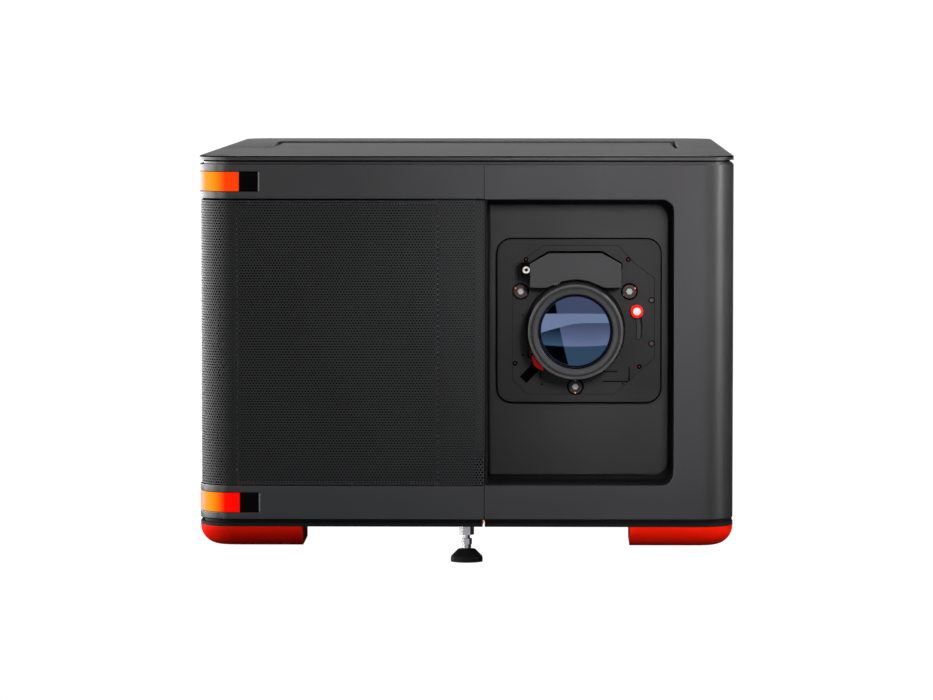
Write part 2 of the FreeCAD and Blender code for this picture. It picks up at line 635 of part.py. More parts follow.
def make_barrel():
    """Barrel with bearing seats for both gear rings; heights run forwards along the lens axis."""
    seat = "gear_seat"
    zoom_rear = "zoom_front - gear_width"
    focus_rear = "focus_front - gear_width - 2"
    profile = [("tail_radius - 6", "tail_end"), ("tail_radius", "tail_end"), ("tail_radius", "436"),
               ("70", "436"), ("70", "443.5"), ("tail_radius", "443.5"), ("tail_radius", "plate_rear + 0.2"),
               ("barrel_radius", "plate_rear + 0.2"), ("barrel_radius", f"{zoom_rear} - 0.5"),
               (seat, f"{zoom_rear} - 0.5"), (seat, "zoom_front + 0.5"), ("66", "zoom_front + 0.5"),
               ("66", f"{focus_rear} - 0.5"), (seat, f"{focus_rear} - 0.5"), (seat, "focus_front + 0.5"),
               ("nose_radius", "focus_front + 0.5"), ("nose_radius", "nose_front - 1"),
               ("nose_radius - 1", "nose_front"), ("nose_radius - 3", "nose_front"),
               ("nose_radius - 3.6", "nose_front - 2"), ("60", "nose_front - 2"),
               ("59.5", "nose_front - 0.8"), ("54.4", "nose_front - 2.2"),
               ("glass_radius + run_clearance", "nose_front - 12"),
               ("glass_radius + run_clearance", "nose_front - 26"), ("46", "nose_front - 26")]
    node("lens_barrel", turned_lens(profile))
    node("front_glass", turned_lens([("0", "nose_front - 26"), ("48", "nose_front - 26"),
                                     ("glass_radius", "nose_front - 22"), ("glass_radius", "nose_front - 15"),
                                     ("44", "nose_front - 11.4"), ("31", "nose_front - 8.8"),
                                     ("16", "nose_front - 6.9"), ("0", "nose_front - 6.2")]))
    node("focus_glass", turned_lens([("0", "cell_rear - 6"), ("30", "cell_rear - 4"),
                                     ("cell_radius - 4", "cell_rear"), ("cell_radius", "cell_rear"),
                                     ("cell_radius", "cell_front"), ("cell_radius - 4", "cell_front"),
                                     ("30", "cell_front - 10"), ("0", "cell_front - 14")]))
    # the middle of the pinion's tooth gap faces the ring's tooth along the line of centres
    teeth = int(size("gear_teeth"))
    small = int(size("pinion_teeth"))
    for ring, width, extra in (("focus", size("gear_width") + 2, 1), ("zoom", size("gear_width"), 0)):
        front = size(f"{ring}_front")
        node(f"{ring}_ring", toothed_ring(teeth, size("gear_root"), size("gear_tip"),
                                          size("gear_seat") + size("run_clearance"), front, width,
                                          (size("lens_x"), size("lens_z")), 0, f"{ring}_ring"))
        lean = math.radians(size(f"{ring}_pinion_deg"))
        tooth_pitch = 2 * math.pi / teeth
        phase_in_ring = (lean / tooth_pitch) % 1.0
        centre = (size("lens_x") + size("pinion_distance") * math.cos(lean),
                  size("lens_z") + size("pinion_distance") * math.sin(lean))
        phase = lean + math.pi + (0.5 + phase_in_ring) * 2 * math.pi / small
        gear = toothed_ring(small, size("pinion_root"), size("pinion_tip"), 0, front - 1, width - 2,
                            centre, phase, f"{ring}_gear")
        side = f"pinion_distance * cos({ring}_pinion_deg)"
        up = f"pinion_distance * sin({ring}_pinion_deg)"
        shaft = lens_rod("shaft_radius", side, up, f"{ring}_front + 8", f"{ring}_front - {width}")
        node(f"{ring}_pinion", fuse(gear, shaft))


def make_motor_housing():
    """Closed drive housing above the lens, hollowed for both gear rings and their pinions."""
    corners = [("-housing_half", "housing_low"), ("housing_half", "housing_low"),
               ("housing_half", "housing_shoulder"), ("housing_crown", "housing_high"),
               ("-housing_crown", "housing_high"), ("-housing_half", "housing_shoulder")]
    shape = slab("XZ_Plane", around_lens(corners), "housing_front - plate_front + 0.5",
                 y="-plate_front + 0.5", name="housing")
    tools = [lens_rod("gear_tip + 1.5", "0", "0", "housing_front + 5", "plate_front - 5")]
    for ring in ("focus", "zoom"):
        side = f"pinion_distance * cos({ring}_pinion_deg)"
        up = f"pinion_distance * sin({ring}_pinion_deg)"
        tools.append(lens_rod("pinion_tip + 1", side, up, f"{ring}_front + 0.5", f"{ring}_front - 13.5"))
        tools.append(lens_rod("shaft_radius + run_clearance", side, up, f"{ring}_front + 9",
                              f"{ring}_front - 15"))
    node("motor_housing", cut(shape, *tools))
    sensor = slab("XZ_Plane", around_lens([("-77", "76.8"), ("-65.3", "76.8"), ("-65.3", "95.8"),
                                           ("-77", "95.8")]),
                  "housing_front - plate_front - 1", y="-plate_front + 0.5", name="sensor")
    eye = lens_rod("4.6", "-70.4", "85.9", "housing_front + 2", "housing_front - 3")
    node("alignment_camera", fuse(sensor, eye))


def make_stage():
    """Lift stage on two guide rods, driven by a screw at its left."""
    corners = [("-stage_half_x", "-stage_half_z"), ("stage_half_x", "-stage_half_z"),
               ("stage_half_x", "stage_half_z"), ("-stage_half_x", "stage_half_z")]
    block = slab("XZ_Plane", around_lens(corners), "stage_front - stage_rear", y="-stage_rear", name="stage")
    half_mouth = "tail_radius + shift_x + 2"
    mouth = box((f"lens_x - ({half_mouth})", f"lens_x + {half_mouth}"),
                ("-stage_front - 5", "-stage_rear + 5"),
                ("lens_z - tail_radius - 1", "lens_z + tail_radius + 1"))
    middle = "-(stage_front + stage_rear) / 2"
    span = ("base_high", "rod_top")
    rods = []
    bores = []
    for side in ("-rod_spread", "rod_spread"):
        rods.append(rod("rod_radius", "z", (f"lens_x + {side}", middle), span))
        bores.append(rod("rod_radius + run_clearance", "z", (f"lens_x + {side}", middle), span))
    bores.append(rod("lift_screw_radius + run_clearance", "z", ("lens_x - screw_offset", middle), span))
    node("lift_stage", cut(block, mouth, *bores))
    yoke = box(("lens_x - stage_half_x", "lens_x + stage_half_x"), ("-stage_front", "-stage_rear"),
               ("rod_top", "rod_top + 10"))
    node("guide_rods", group(yoke, *rods))
    node("lift_screw", rod("lift_screw_radius", "z", ("lens_x - screw_offset", middle),
                           ("base_high + 0.4", "rod_top - 0.4")))


# ---------------------------------------------------------------- light engine, cooling and electronics

def hollow(x_span, y_span, z_span, wall):
    """A thin-walled case, open at its left side."""
    inner_x = (f"({x_span[0]}) - 1", f"({x_span[1]}) - {wall}")
    inner_y = (f"({y_span[0]}) + {wall}", f"({y_span[1]}) - {wall}")
    inner_z = (f"({z_span[0]}) + {wall}", f"({z_span[1]}) - {wall}")
    return cut(box(x_span, y_span, z_span), box(inner_x, inner_y, inner_z))


def make_engine():
    """Light engine on legs, with the imaging prism, the light shutter and the laser modules."""
    width = ("engine_left", "engine_right")
    case = hollow(width, ("-engine_front", "-engine_rear"), ("engine_low", "engine_high"), "4")
    light_port = rod("44", "y", ("lens_x", "lens_z"), ("-engine_front - 6", "-engine_front + 9"))
    pivot = ("shutter_x", "shutter_z")
    pivot_bore = rod("shutter_pin + run_clearance", "y", pivot, ("-engine_rear - 10", "-engine_rear + 10"))
    legs = [box((x, f"{x} + 20"), (y, f"{y} + 20"), ("base_high", "engine_low"))
            for x in ("engine_left + 2", "engine_right - 22")
            for y in ("-engine_front + 4", "-engine_rear - 22")]
    node("light_engine", fuse(cut(case, light_port, pivot_bore), *legs))
    prism = box(("lens_x - 35", "lens_x + 35"), ("-340", "-270"), ("lens_z - 35", "lens_z + 35"))
    chip_y = ("-325", "-285")
    chips = [box(("lens_x - 45", "lens_x + 45"), chip_y, ("lens_z - 20", "lens_z + 20")),
             box(("lens_x - 20", "lens_x + 20"), chip_y, ("engine_low + 4", "lens_z + 45"))]
    node("imaging_block", fuse(prism, *chips))
    blade = box(("shutter_x - 25", "shutter_x + 25"), ("-150", "-148"), ("shutter_z - 85", "shutter_z + 5"))
    pin = rod("shutter_pin", "y", pivot, ("-150", "-121"))
    node("shutter_blade", fuse(blade, pin))
    modules = []
    for tier in range(3):
        for front in ("-100", "0"):
            low = f"base_high + {tier} * (module_height + 1)"
            modules.append(hollow(width, (front, f"{front} + module_depth"),
                                  (low, f"{low} + module_height"), "6"))
    node("laser_modules", group(*modules))


def make_cooling():
    """Radiator behind the filter, and the fan frames."""
    depth = ("-radiator_front", "-radiator_rear")
    fins = []
    for i in range(31):
        low = f"fin_low + {i} * fin_pitch"
        fins.append(box(("-filter_left", "-radiator_right"), depth, (low, f"{low} + fin_gauge")))
    tanks = [box((left, f"{left} + tank_width"), depth, ("base_high", "tank_high"))
             for left in ("-filter_left - tank_width", "-radiator_right")]
    node("radiator", fuse(*fins, *tanks))
    frames = []
    intake_y = ("-480", "-445")
    for x, y_span, z in (("-fan_x", intake_y, "lower_fan_z"), ("-fan_x", intake_y, "upper_fan_z"),
                         ("-exhaust_x", ("522", "562"), "exhaust_z")):
        rear = y_span[0]
        frame = box((f"{x} - fan_frame / 2", f"{x} + fan_frame / 2"), y_span,
                    (f"{z} - fan_frame / 2", f"{z} + fan_frame / 2"))
        frame = cut(frame, rod("fan_bore", "y", (x, z), (f"{rear} - 1", f"{y_span[1]} + 1")))
        hub = rod("hub_radius", "y", (x, z), (f"{rear} + 1", f"{rear} + 8"))
        strut_y = (f"{rear} + 1", f"{rear} + 5")
        across = box((f"{x} - fan_bore - 2", f"{x} + fan_bore + 2"), strut_y, (f"{z} - 3", f"{z} + 3"))
        upright = box((f"{x} - 3", f"{x} + 3"), strut_y, (f"{z} - fan_bore - 2", f"{z} + fan_bore + 2"))
        frames.append(fuse(frame, hub, across, upright))
    node("fan_housings", group(*frames))
    make_rotor("intake_fan_lower", -size("fan_x"), -468, size("lower_fan_z"))
    make_rotor("intake_fan_upper", -size("fan_x"), -468, size("upper_fan_z"))
    make_rotor("exhaust_fan", -size("exhaust_x"), 534, size("exhaust_z"))


def make_rotor(name, x, y, z):
    """A hub with slanted blades, running about Y; y is its rear face."""
    hub = size("hub_radius")
    tip = size("fan_radius")
    depth = size("rotor_depth")
    shape = Part.makeCylinder(hub, depth, FreeCAD.Vector(), FreeCAD.Vector(0, 1, 0))
    count = int(size("blade_count"))
    for i in range(count):
        blade = Part.makeBox(tip - hub + 4, 2, 26, FreeCAD.Vector(hub - 4, -1, -13))
        blade.rotate(FreeCAD.Vector(), FreeCAD.Vector(1, 0, 0), 40)
        blade.translate(FreeCAD.Vector(0, depth / 2, 0))
        blade.rotate(FreeCAD.Vector(), FreeCAD.Vector(0, 1, 0), 360 * i / count)
        shape = shape.fuse(blade)
    round_tip = Part.makeCylinder(tip, depth, FreeCAD.Vector(), FreeCAD.Vector(0, 1, 0))
    item = doc.addObject("Part::Feature", name)
    item.Shape = shape.common(round_tip)
    item.Placement.Base = FreeCAD.Vector(x, y, z)
    node(name, item)


def make_electronics():
    """Power supplies, boards, rear ports, power inlet with its rocker switch, and the standby button."""
    supplies = []
    for tier in range(3):
        low = f"base_high + {tier} * supply_height"
        supplies.append(hollow(("-supply_left", "-supply_right"), ("supply_front", "supply_rear"),
                               (low, f"{low} + supply_height"), "3"))
    node("power_supplies", group(*supplies))
    boards = []
    for i in range(5):
        left = f"-supply_left + {i} * board_pitch"
        boards.append(box((left, f"{left} + board_gauge"), ("-board_front", "0"),
                          ("base_high", "board_high")))
    node("circuit_boards", group(*boards))
    inside = "body_depth / 2 - cover_gauge"
    plate_y = (f"{inside} - 3", inside)
    plate = box(("ports_left - 5", "ports_right + 5"), plate_y, ("ports_low - 5", "ports_high + 5"))
    ports = [box((f"ports_left + {18 + 34 * i}", f"ports_left + {38 + 34 * i}"), (inside, f"{inside} + 2"),
                 (f"ports_low + {up}", f"ports_low + {up} + 14")) for i in range(6) for up in (20, 62, 104)]
    node("rear_connectors", fuse(plate, *ports))
    body = box(("inlet_x - 20", "inlet_x + 20"), ("body_depth / 2 - 30", "body_depth / 2 - 0.5"),
               ("inlet_z - 15", "inlet_z + 15"))
    flange = box(("inlet_x - 25", "inlet_x + 25"), plate_y, ("inlet_z - 20", "inlet_z + 20"))
    cavity = box(("inlet_x - 13", "inlet_x + 13"), ("body_depth / 2 - 20", "body_depth / 2 + 5"),
                 ("inlet_z - 10", "inlet_z + 10"))
    pins = [box((f"inlet_x + {side} - 1", f"inlet_x + {side} + 1"),
                ("body_depth / 2 - 22", "body_depth / 2 - 13"), ("inlet_z - 3", "inlet_z + 3"))
            for side in (-7, 0, 7)]
    node("power_inlet", fuse(cut(fuse(body, flange), cavity), *pins))
    rocker = slab("YZ_Plane", [("rocker_y - 2", "inlet_z - 13"), ("rocker_y + 3.5", "inlet_z - 13.5"),
                               ("rocker_y + 5.5", "inlet_z"), ("rocker_y + 3.5", "inlet_z + 13.5"),
                               ("rocker_y - 2", "inlet_z + 13")], "18", x="rocker_x - 9")
    axle = rod("1.5", "x", ("rocker_y", "inlet_z"), ("rocker_x - 11", "rocker_x + 11"))
    node("power_switch", fuse(rocker, axle))
    node("standby_button", rod("button_radius", "y", ("button_x", "inlet_z"),
                               ("body_depth / 2 - 9", "body_depth / 2 - 0.3")))


make_base()
make_frame()
make_feet()
make_skids()
cover_regions()
make_grille()
make_top()
make_bay()
make_lens_plate()
make_lever()
make_adjusters()
make_barrel()
make_motor_housing()
make_stage()
make_engine()
make_cooling()
make_electronics()
doc.recompute()

faults = [item.Label for item in doc.Objects if "Invalid" in item.State or "Error" in item.State]
faults += [name for name, item in parts.items() if item.Shape.isNull() or not item.Shape.isValid()]
if faults:
    raise SystemExit("failed: " + ", ".join(faults))
os.makedirs("parts", exist_ok=True)
for name, item in parts.items():
    item.Shape.exportStep(f"parts/{name}.step")
print(len(parts), "parts written")
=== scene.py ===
import json
import math

import bmesh
import bpy
import numpy as np
from mathutils import Matrix, Vector


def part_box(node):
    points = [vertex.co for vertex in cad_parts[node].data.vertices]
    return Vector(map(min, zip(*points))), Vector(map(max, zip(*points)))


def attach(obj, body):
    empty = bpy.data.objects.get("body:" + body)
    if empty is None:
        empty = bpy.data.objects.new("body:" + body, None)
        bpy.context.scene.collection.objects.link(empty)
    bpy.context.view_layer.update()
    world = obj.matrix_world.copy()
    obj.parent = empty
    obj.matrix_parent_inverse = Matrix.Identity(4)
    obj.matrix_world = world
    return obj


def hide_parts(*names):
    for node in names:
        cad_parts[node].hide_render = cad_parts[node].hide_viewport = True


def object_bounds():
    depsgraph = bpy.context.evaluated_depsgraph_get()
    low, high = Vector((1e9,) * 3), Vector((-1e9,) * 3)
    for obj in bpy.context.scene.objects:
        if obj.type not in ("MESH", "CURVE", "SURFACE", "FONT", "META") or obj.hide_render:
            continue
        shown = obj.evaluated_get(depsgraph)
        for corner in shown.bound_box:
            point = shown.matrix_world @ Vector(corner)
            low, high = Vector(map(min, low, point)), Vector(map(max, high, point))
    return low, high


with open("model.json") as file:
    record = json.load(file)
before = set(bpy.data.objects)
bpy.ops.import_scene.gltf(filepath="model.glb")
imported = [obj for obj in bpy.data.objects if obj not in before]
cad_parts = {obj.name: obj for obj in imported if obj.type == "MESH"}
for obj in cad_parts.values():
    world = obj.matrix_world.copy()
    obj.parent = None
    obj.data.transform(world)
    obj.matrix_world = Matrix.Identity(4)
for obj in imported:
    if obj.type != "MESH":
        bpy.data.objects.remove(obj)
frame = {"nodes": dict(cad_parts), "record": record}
cad_low_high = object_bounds()
nodes = frame["nodes"]
record = frame["record"]
body_of = {node: body for body, members in record["behaviour"]["bodies"].items() for node in members}
slot_of = {part["node"]: part["material_slot"] for part in record["subparts"]}
MM = 0.001

glass_low, glass_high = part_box("front_glass")
LENS = (glass_low + glass_high) / 2
plate_low, plate_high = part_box("lens_plate")
lid_low, lid_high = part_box("top_front_cover")
base_low, base_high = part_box("base_plate")
rear_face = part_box("rear_panel")[1].y
CORNER = 50          # the body's corner radius in plan, in mm
FACE = 482.5         # front of the lens plate, in mm ahead of the origin
LEVER_REACH = 91     # from the lens axis to the lock knob, in mm
LEVER_REST = 16.1    # the knob's rest place, in degrees above level
LEVER_SWING = 23     # how far the knob swings down its slot, in degrees
DOME_RADIUS = 189    # the front glass's radius of curvature, in mm
PAPER_WHITE = 1.05   # brightness of the floor and backdrop as the camera sees them


# ---------------------------------------------------------------- materials

def nodes_of(name):
    """A new material with its node tree and main shader."""
    material = bpy.data.materials.new(name)
    material.use_nodes = True
    tree = material.node_tree
    shader = tree.nodes["Principled BSDF"]
    return material, tree, shader


def noise(tree, spot, scale):
    """Noise fixed to the object's own coordinates."""
    item = tree.nodes.new("ShaderNodeTexNoise")
    item.inputs["Scale"].default_value = scale
    item.inputs["Detail"].default_value = 2
    tree.links.new(spot.outputs["Object"], item.inputs["Vector"])
    return item


def ramp(tree, source, low, high, out_low, out_high):
    """A value carried from one range to another."""
    item = tree.nodes.new("ShaderNodeMapRange")
    item.inputs["From Min"].default_value = low
    item.inputs["From Max"].default_value = high
    item.inputs["To Min"].default_value = out_low
    item.inputs["To Max"].default_value = out_high
    tree.links.new(source, item.inputs["Value"])
    return item.outputs["Result"]


def mixed(tree, factor, first, second):
    """Two plain colours blended by a factor."""
    item = tree.nodes.new("ShaderNodeMix")
    item.data_type = "RGBA"
    tree.links.new(factor, item.inputs["Factor"])
    for socket, colour in (("A", first), ("B", second)):
        target = next(i for i in item.inputs if i.name == socket and i.type == "RGBA")
        target.default_value = (*colour, 1)
    return next(o for o in item.outputs if o.type == "RGBA")


def shade(colour, factor):
    return tuple(min(1.0, c * factor) for c in colour)


def relief(tree, shader, height, strength, distance):
    """Fine bumps on a shader, from a texture's height."""
    bump = tree.nodes.new("ShaderNodeBump")
    bump.inputs["Strength"].default_value = strength
    bump.inputs["Distance"].default_value = distance
    tree.links.new(height, bump.inputs["Height"])
    tree.links.new(bump.outputs["Normal"], shader.inputs["Normal"])


def colour_scale(tree, source, stops):
    """Colours along a value from 0 to 1, given as (position, colour) stops."""
    fade = tree.nodes.new("ShaderNodeValToRGB")
    tree.links.new(source, fade.inputs["Fac"])
    elements = fade.color_ramp.elements
    while len(elements) < len(stops):
        elements.new(0.5)
    for element, (position, colour) in zip(elements, stops):
        element.position = position
        element.color = (*colour, 1)
    return fade.outputs["Color"]


def finish(name, colour, rough, metal=0.0, grain=900, depth=0.00004, specular=0.5, glow=0.0):
    """A worn-in surface: slow colour drift, fine grain in height and uneven roughness. A glow, when given,
    makes it shine in its own colour: painted light.
    """
    colour_drift, rough_drift = 0.1, 0.04
    material, tree, shader = nodes_of(name)
    spot = tree.nodes.new("ShaderNodeTexCoord")
    slow = noise(tree, spot, 9)
    fine = noise(tree, spot, grain)
    shift = mixed(tree, ramp(tree, slow.outputs["Fac"], 0.3, 0.7, 0, 1), shade(colour, 1 - colour_drift),
                  shade(colour, 1 + colour_drift))
    tree.links.new(shift, shader.inputs["Base Color"])
    tree.links.new(ramp(tree, fine.outputs["Fac"], 0.3, 0.7, rough - rough_drift, rough + rough_drift),
                   shader.inputs["Roughness"])
    relief(tree, shader, fine.outputs["Fac"], 0.6, depth)
    shader.inputs["Metallic"].default_value = metal
    shader.inputs["Specular IOR Level"].default_value = specular
    if glow:
        tree.links.new(shift, shader.inputs["Emission Color"])
        shader.inputs["Emission Strength"].default_value = glow
    return material


def light_finish(name, late_stops):
    """Status light: amber at the side, pale round the corner, then amber to the colour of its inner end. The
    pale band round the corner is a painted highlight, and the fade towards the inner end's deeper colour is
    painted shade.
    """
    length = 0.058
    material, tree, shader = nodes_of(name)
    spot = tree.nodes.new("ShaderNodeTexCoord")
    apart = tree.nodes.new("ShaderNodeSeparateXYZ")
    tree.links.new(spot.outputs["Object"], apart.inputs["Vector"])
    along = ramp(tree, apart.outputs["X"], lid_low.x, lid_low.x + length, 0, 1)
    # the pale stops round the corner paint a highlight; the later stops paint shade towards the inner end
    fade = colour_scale(tree, along, (
        (0.0, (1.0, 0.38, 0.01)), (0.012, (1.0, 0.38, 0.01)), (0.03, (0.92, 0.50, 0.36)),
        (0.10, (0.95, 0.46, 0.28)), (0.17, (1.0, 0.40, 0.005)), (0.26, (1.0, 0.37, 0.004)), *late_stops))
    grain = noise(tree, spot, 500)
    relief(tree, shader, grain.outputs["Fac"], 0.15, 0.0001)
    tree.links.new(ramp(tree, grain.outputs["Fac"], 0.3, 0.7, 0.28, 0.36), shader.inputs["Roughness"])
    tree.links.new(fade, shader.inputs["Emission Color"])
    shader.inputs["Emission Strength"].default_value = 0.98
    shader.inputs["Base Color"].default_value = (0.08, 0.004, 0.0, 1)
    shader.inputs["Specular IOR Level"].default_value = 0.03
    return material


def glass_finish(name):
    """Front element: a blue violet coating over a black interior."""
    material, tree, shader = nodes_of(name)
    spot = tree.nodes.new("ShaderNodeTexCoord")
    slow = noise(tree, spot, 25)
    tint = mixed(tree, ramp(tree, slow.outputs["Fac"], 0.35, 0.65, 0, 1), (0.148, 0.198, 0.335),
                 (0.158, 0.204, 0.348))
    tree.links.new(tint, shader.inputs["Base Color"])
    shader.inputs["Metallic"].default_value = 1.0
    fine = noise(tree, spot, 1500)
    tree.links.new(ramp(tree, fine.outputs["Fac"], 0.3, 0.7, 0.015, 0.05), shader.inputs["Roughness"])
    relief(tree, shader, fine.outputs["Fac"], 0.05, 0.00001)
    return material


FINISH = {
    "cover_paint": finish("cover_paint", (0.0190, 0.0182, 0.0188), 0.37, specular=0.65),
    "lid_paint": finish("lid_paint", (0.0240, 0.0231, 0.0239), 0.40, specular=0.6),
    "chassis_black": finish("chassis_black", (0.006, 0.006, 0.006), 0.6, specular=0.15),
    "grille_black": finish("grille_black", (0.018, 0.018, 0.0185), 0.5, specular=0.38),
    "filter_foam": finish("filter_foam", (0.006, 0.006, 0.006), 0.9, grain=700, depth=0.0008, specular=0.04),
    "bay_grey": finish("bay_grey", (0.0235, 0.0225, 0.0231), 0.55, specular=0.35),
    "light_orange": light_finish("light_orange", ((0.40, (1.0, 0.31, 0.001)), (0.54, (1.0, 0.175, 0.001)),
                                                  (0.67, (1.0, 0.054, 0.001)), (1.0, (1.0, 0.050, 0.001)))),
    "window_black": finish("window_black", (0.0006, 0.0006, 0.0006), 0.14, specular=0.04, depth=0.000004),
    "skid_orange": finish("skid_orange", (0.86, 0.0095, 0.001), 0.42, specular=0.06),
    "bright_steel": finish("bright_steel", (0.62, 0.61, 0.60), 0.28, metal=1.0, grain=400, depth=0.00002),
    "pad_rubber": finish("pad_rubber", (0.010, 0.010, 0.010), 0.7, grain=500, depth=0.0001, specular=0.3),
    "fan_plastic": finish("fan_plastic", (0.012, 0.012, 0.012), 0.5, grain=600),
    "cast_alloy": finish("cast_alloy", (0.42, 0.43, 0.44), 0.45, metal=0.8, grain=300, depth=0.0001),
    "barrel_black": finish("barrel_black", (0.028, 0.0275, 0.0285), 0.42, grain=1200, depth=0.00001),
    "coated_glass": glass_finish("coated_glass"),
    "board_green": finish("board_green", (0.015, 0.10, 0.045), 0.4, grain=200),
}
EXTRA = {
    "light_red": light_finish("light_red", ((0.40, (1.0, 0.25, 0.001)), (0.54, (1.0, 0.085, 0.001)),
                                            (0.64, (1.0, 0.001, 0.0)), (1.0, (1.0, 0.0, 0.0)))),
    # the red paint and the amber dots glow a little: painted light, as they are no lamps
    "red_paint_glowing": finish("red_paint_glowing", (0.95, 0.006, 0.002), 0.4, specular=0.2, glow=0.2),
    "dark_red": finish("dark_red", (0.12, 0.004, 0.004), 0.5),
    "amber_dot_glowing": finish("amber_dot_glowing", (0.95, 0.24, 0.07), 0.4, glow=0.15),
    "pearl": finish("pearl", (0.42, 0.39, 0.37), 0.35),
    "hole_black": finish("hole_black", (0.001, 0.001, 0.001), 0.8, specular=0.0),
    "port_steel": finish("port_steel", (0.5, 0.5, 0.5), 0.35, metal=1.0, grain=500),
    "gold": finish("gold", (0.8, 0.55, 0.2), 0.3, metal=1.0),
    "port_blue": finish("port_blue", (0.01, 0.05, 0.25), 0.45),
    "tooth_black": finish("tooth_black", (0.004, 0.004, 0.004), 0.6, specular=0.15),
    # rim_grey lightens the lens nose's rim as a painted highlight and colours the ring screws;
    # groove_shade_grey darkens the nose's groove as painted shade
    "rim_grey": finish("rim_grey", (0.036, 0.035, 0.036), 0.42),
    "band_grey": finish("band_grey", (0.027, 0.026, 0.027), 0.45),
    "housing_grey": finish("housing_grey", (0.0240, 0.0231, 0.0238), 0.5, specular=0.35),
    "plate_grey": finish("plate_grey", (0.0152, 0.0146, 0.0150), 0.5, specular=0.3),
    "groove_shade_grey": finish("groove_shade_grey", (0.016, 0.016, 0.016), 0.5, specular=0.2),
    "head_grey": finish("head_grey", (0.50, 0.49, 0.49), 0.35, metal=0.7, grain=400),
    "edge_highlight_grey": finish("edge_highlight_grey", (0.20, 0.195, 0.20), 0.4),
}


def dress(obj, slot, body, material=None):
    """Give a new piece its look, from its slot's finish unless another material is named, and the body it
    moves with.
    """
    obj.data.materials.clear()
    obj.data.materials.append(EXTRA[material] if material else FINISH[slot])
    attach(obj, body)
    return obj


# ---------------------------------------------------------------- mesh helpers

def add_object(name, bm):
    """The built shape as an object with smooth faces and crisp edges."""
    mesh = bpy.data.meshes.new(name)
    bmesh.ops.recalc_face_normals(bm, faces=bm.faces)
    bm.to_mesh(mesh)
    bm.free()
    mesh.shade_smooth()
    mesh.set_sharp_from_angle(angle=math.radians(38))
    obj = bpy.data.objects.new(name, mesh)
    bpy.context.scene.collection.objects.link(obj)
    item = obj.modifiers.new("normals", "WEIGHTED_NORMAL")
    item.keep_sharp = True
    return obj


def bevel(bm, width, segments=2, angle=40, chosen=None):
    """Break the edges that turn by more than an angle."""
    edges = [e for e in bm.edges if e.is_manifold and e.calc_face_angle() > math.radians(angle)]
    if chosen:
        edges = [e for e in edges if chosen(e)]
    bmesh.ops.bevel(bm, geom=edges, offset=width, segments=segments, profile=0.5, affect="EDGES",
                    clamp_overlap=True)


def softened(node, width, segments=2, angle=40, chosen=None):
    """A CAD node's shape with its sharp edges broken, standing in for the node."""
    bm = bmesh.new()
    bm.from_mesh(nodes[node].data)
    bmesh.ops.remove_doubles(bm, verts=bm.verts, dist=0.000002)
    bmesh.ops.dissolve_limit(bm, angle_limit=math.radians(0.5), verts=bm.verts, edges=bm.edges)
    bevel(bm, width, segments, angle, chosen)
    bmesh.ops.triangulate(bm, faces=[f for f in bm.faces if len(f.verts) > 4])
    obj = add_object(node + "_soft", bm)
    dress(obj, slot_of[node], body_of[node])
    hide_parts(node)
    return obj


TURN = {"z": Matrix.Identity(3),
        "-y": Matrix.Rotation(math.pi / 2, 3, "X"), "y": Matrix.Rotation(-math.pi / 2, 3, "X"),
        "x": Matrix.Rotation(math.pi / 2, 3, "Y"), "-x": Matrix.Rotation(-math.pi / 2, 3, "Y")}


def spun(name, rings, at, axis="-y", sides=32, slot="bay_grey", body="body", material=None, closed=False,
         degrees=None):
    """Rings of (radius, height) or (radius, height, corners) about an axis; closed joins last to first."""
    bm = bmesh.new()
    turn = TURN[axis]
    rows = []
    span = math.radians(degrees[1] - degrees[0]) if degrees else 2 * math.pi
    start = math.radians(degrees[0]) if degrees else 0.0
    count = sides + 1 if degrees else sides
    for ring in rings:
        radius, height = ring[0] * MM, ring[1] * MM
        corners = ring[2] if len(ring) > 2 else 0
        row = []
        for i in range(count):
            angle = start + span * i / sides
            reach = radius
            if corners:
                half = math.pi / corners
                reach = radius * math.cos(half) / math.cos((angle % (2 * half)) - half)
            row.append(bm.verts.new(turn @ Vector((reach * math.cos(angle), reach * math.sin(angle), height))
                                    + Vector(at)))
        rows.append(row)
    pairs = list(zip(rows, rows[1:])) + ([(rows[-1], rows[0])] if closed else [])
    steps = count - 1 if degrees else count
    for low, high in pairs:
        for i in range(steps):
            j = (i + 1) % count
            bm.faces.new((low[i], low[j], high[j], high[i]))
    if not closed:
        bm.faces.new(rows[0])
        bm.faces.new(rows[-1])
    elif degrees:
        bm.faces.new([row[0] for row in rows])
        bm.faces.new([row[-1] for row in rows])
    return dress(add_object(name, bm), slot, body, material)


def block(name, low, high, width=0.0005, slot="bay_grey", body="body", material=None):
    """A box with broken edges."""
    bm = bmesh.new()
    bmesh.ops.create_cube(bm, size=1)
    low, high = Vector(low), Vector(high)
    middle = (low + high) / 2
    for vert in bm.verts:
        vert.co = Vector(v * (b - a) for v, a, b in zip(vert.co, low, high)) + middle
    bmesh.ops.bevel(bm, geom=bm.edges[:], offset=width, segments=2, profile=0.5, affect="EDGES")
    return dress(add_object(name, bm), slot, body, material)


def dark_ring(name, rows, body):
    """Rows of points, each joined to the next and the last to the first, as a closed black ring."""
    bm = bmesh.new()
    rings = [[bm.verts.new(point) for point in row] for row in rows]
    count = len(rings[0])
    for a, b in zip(rings, rings[1:] + rings[:1]):
        for i in range(count):
            j = (i + 1) % count
            bm.faces.new((a[i], a[j], b[j], b[i]))
    dress(add_object(name, bm), "chassis_black", body, "hole_black")


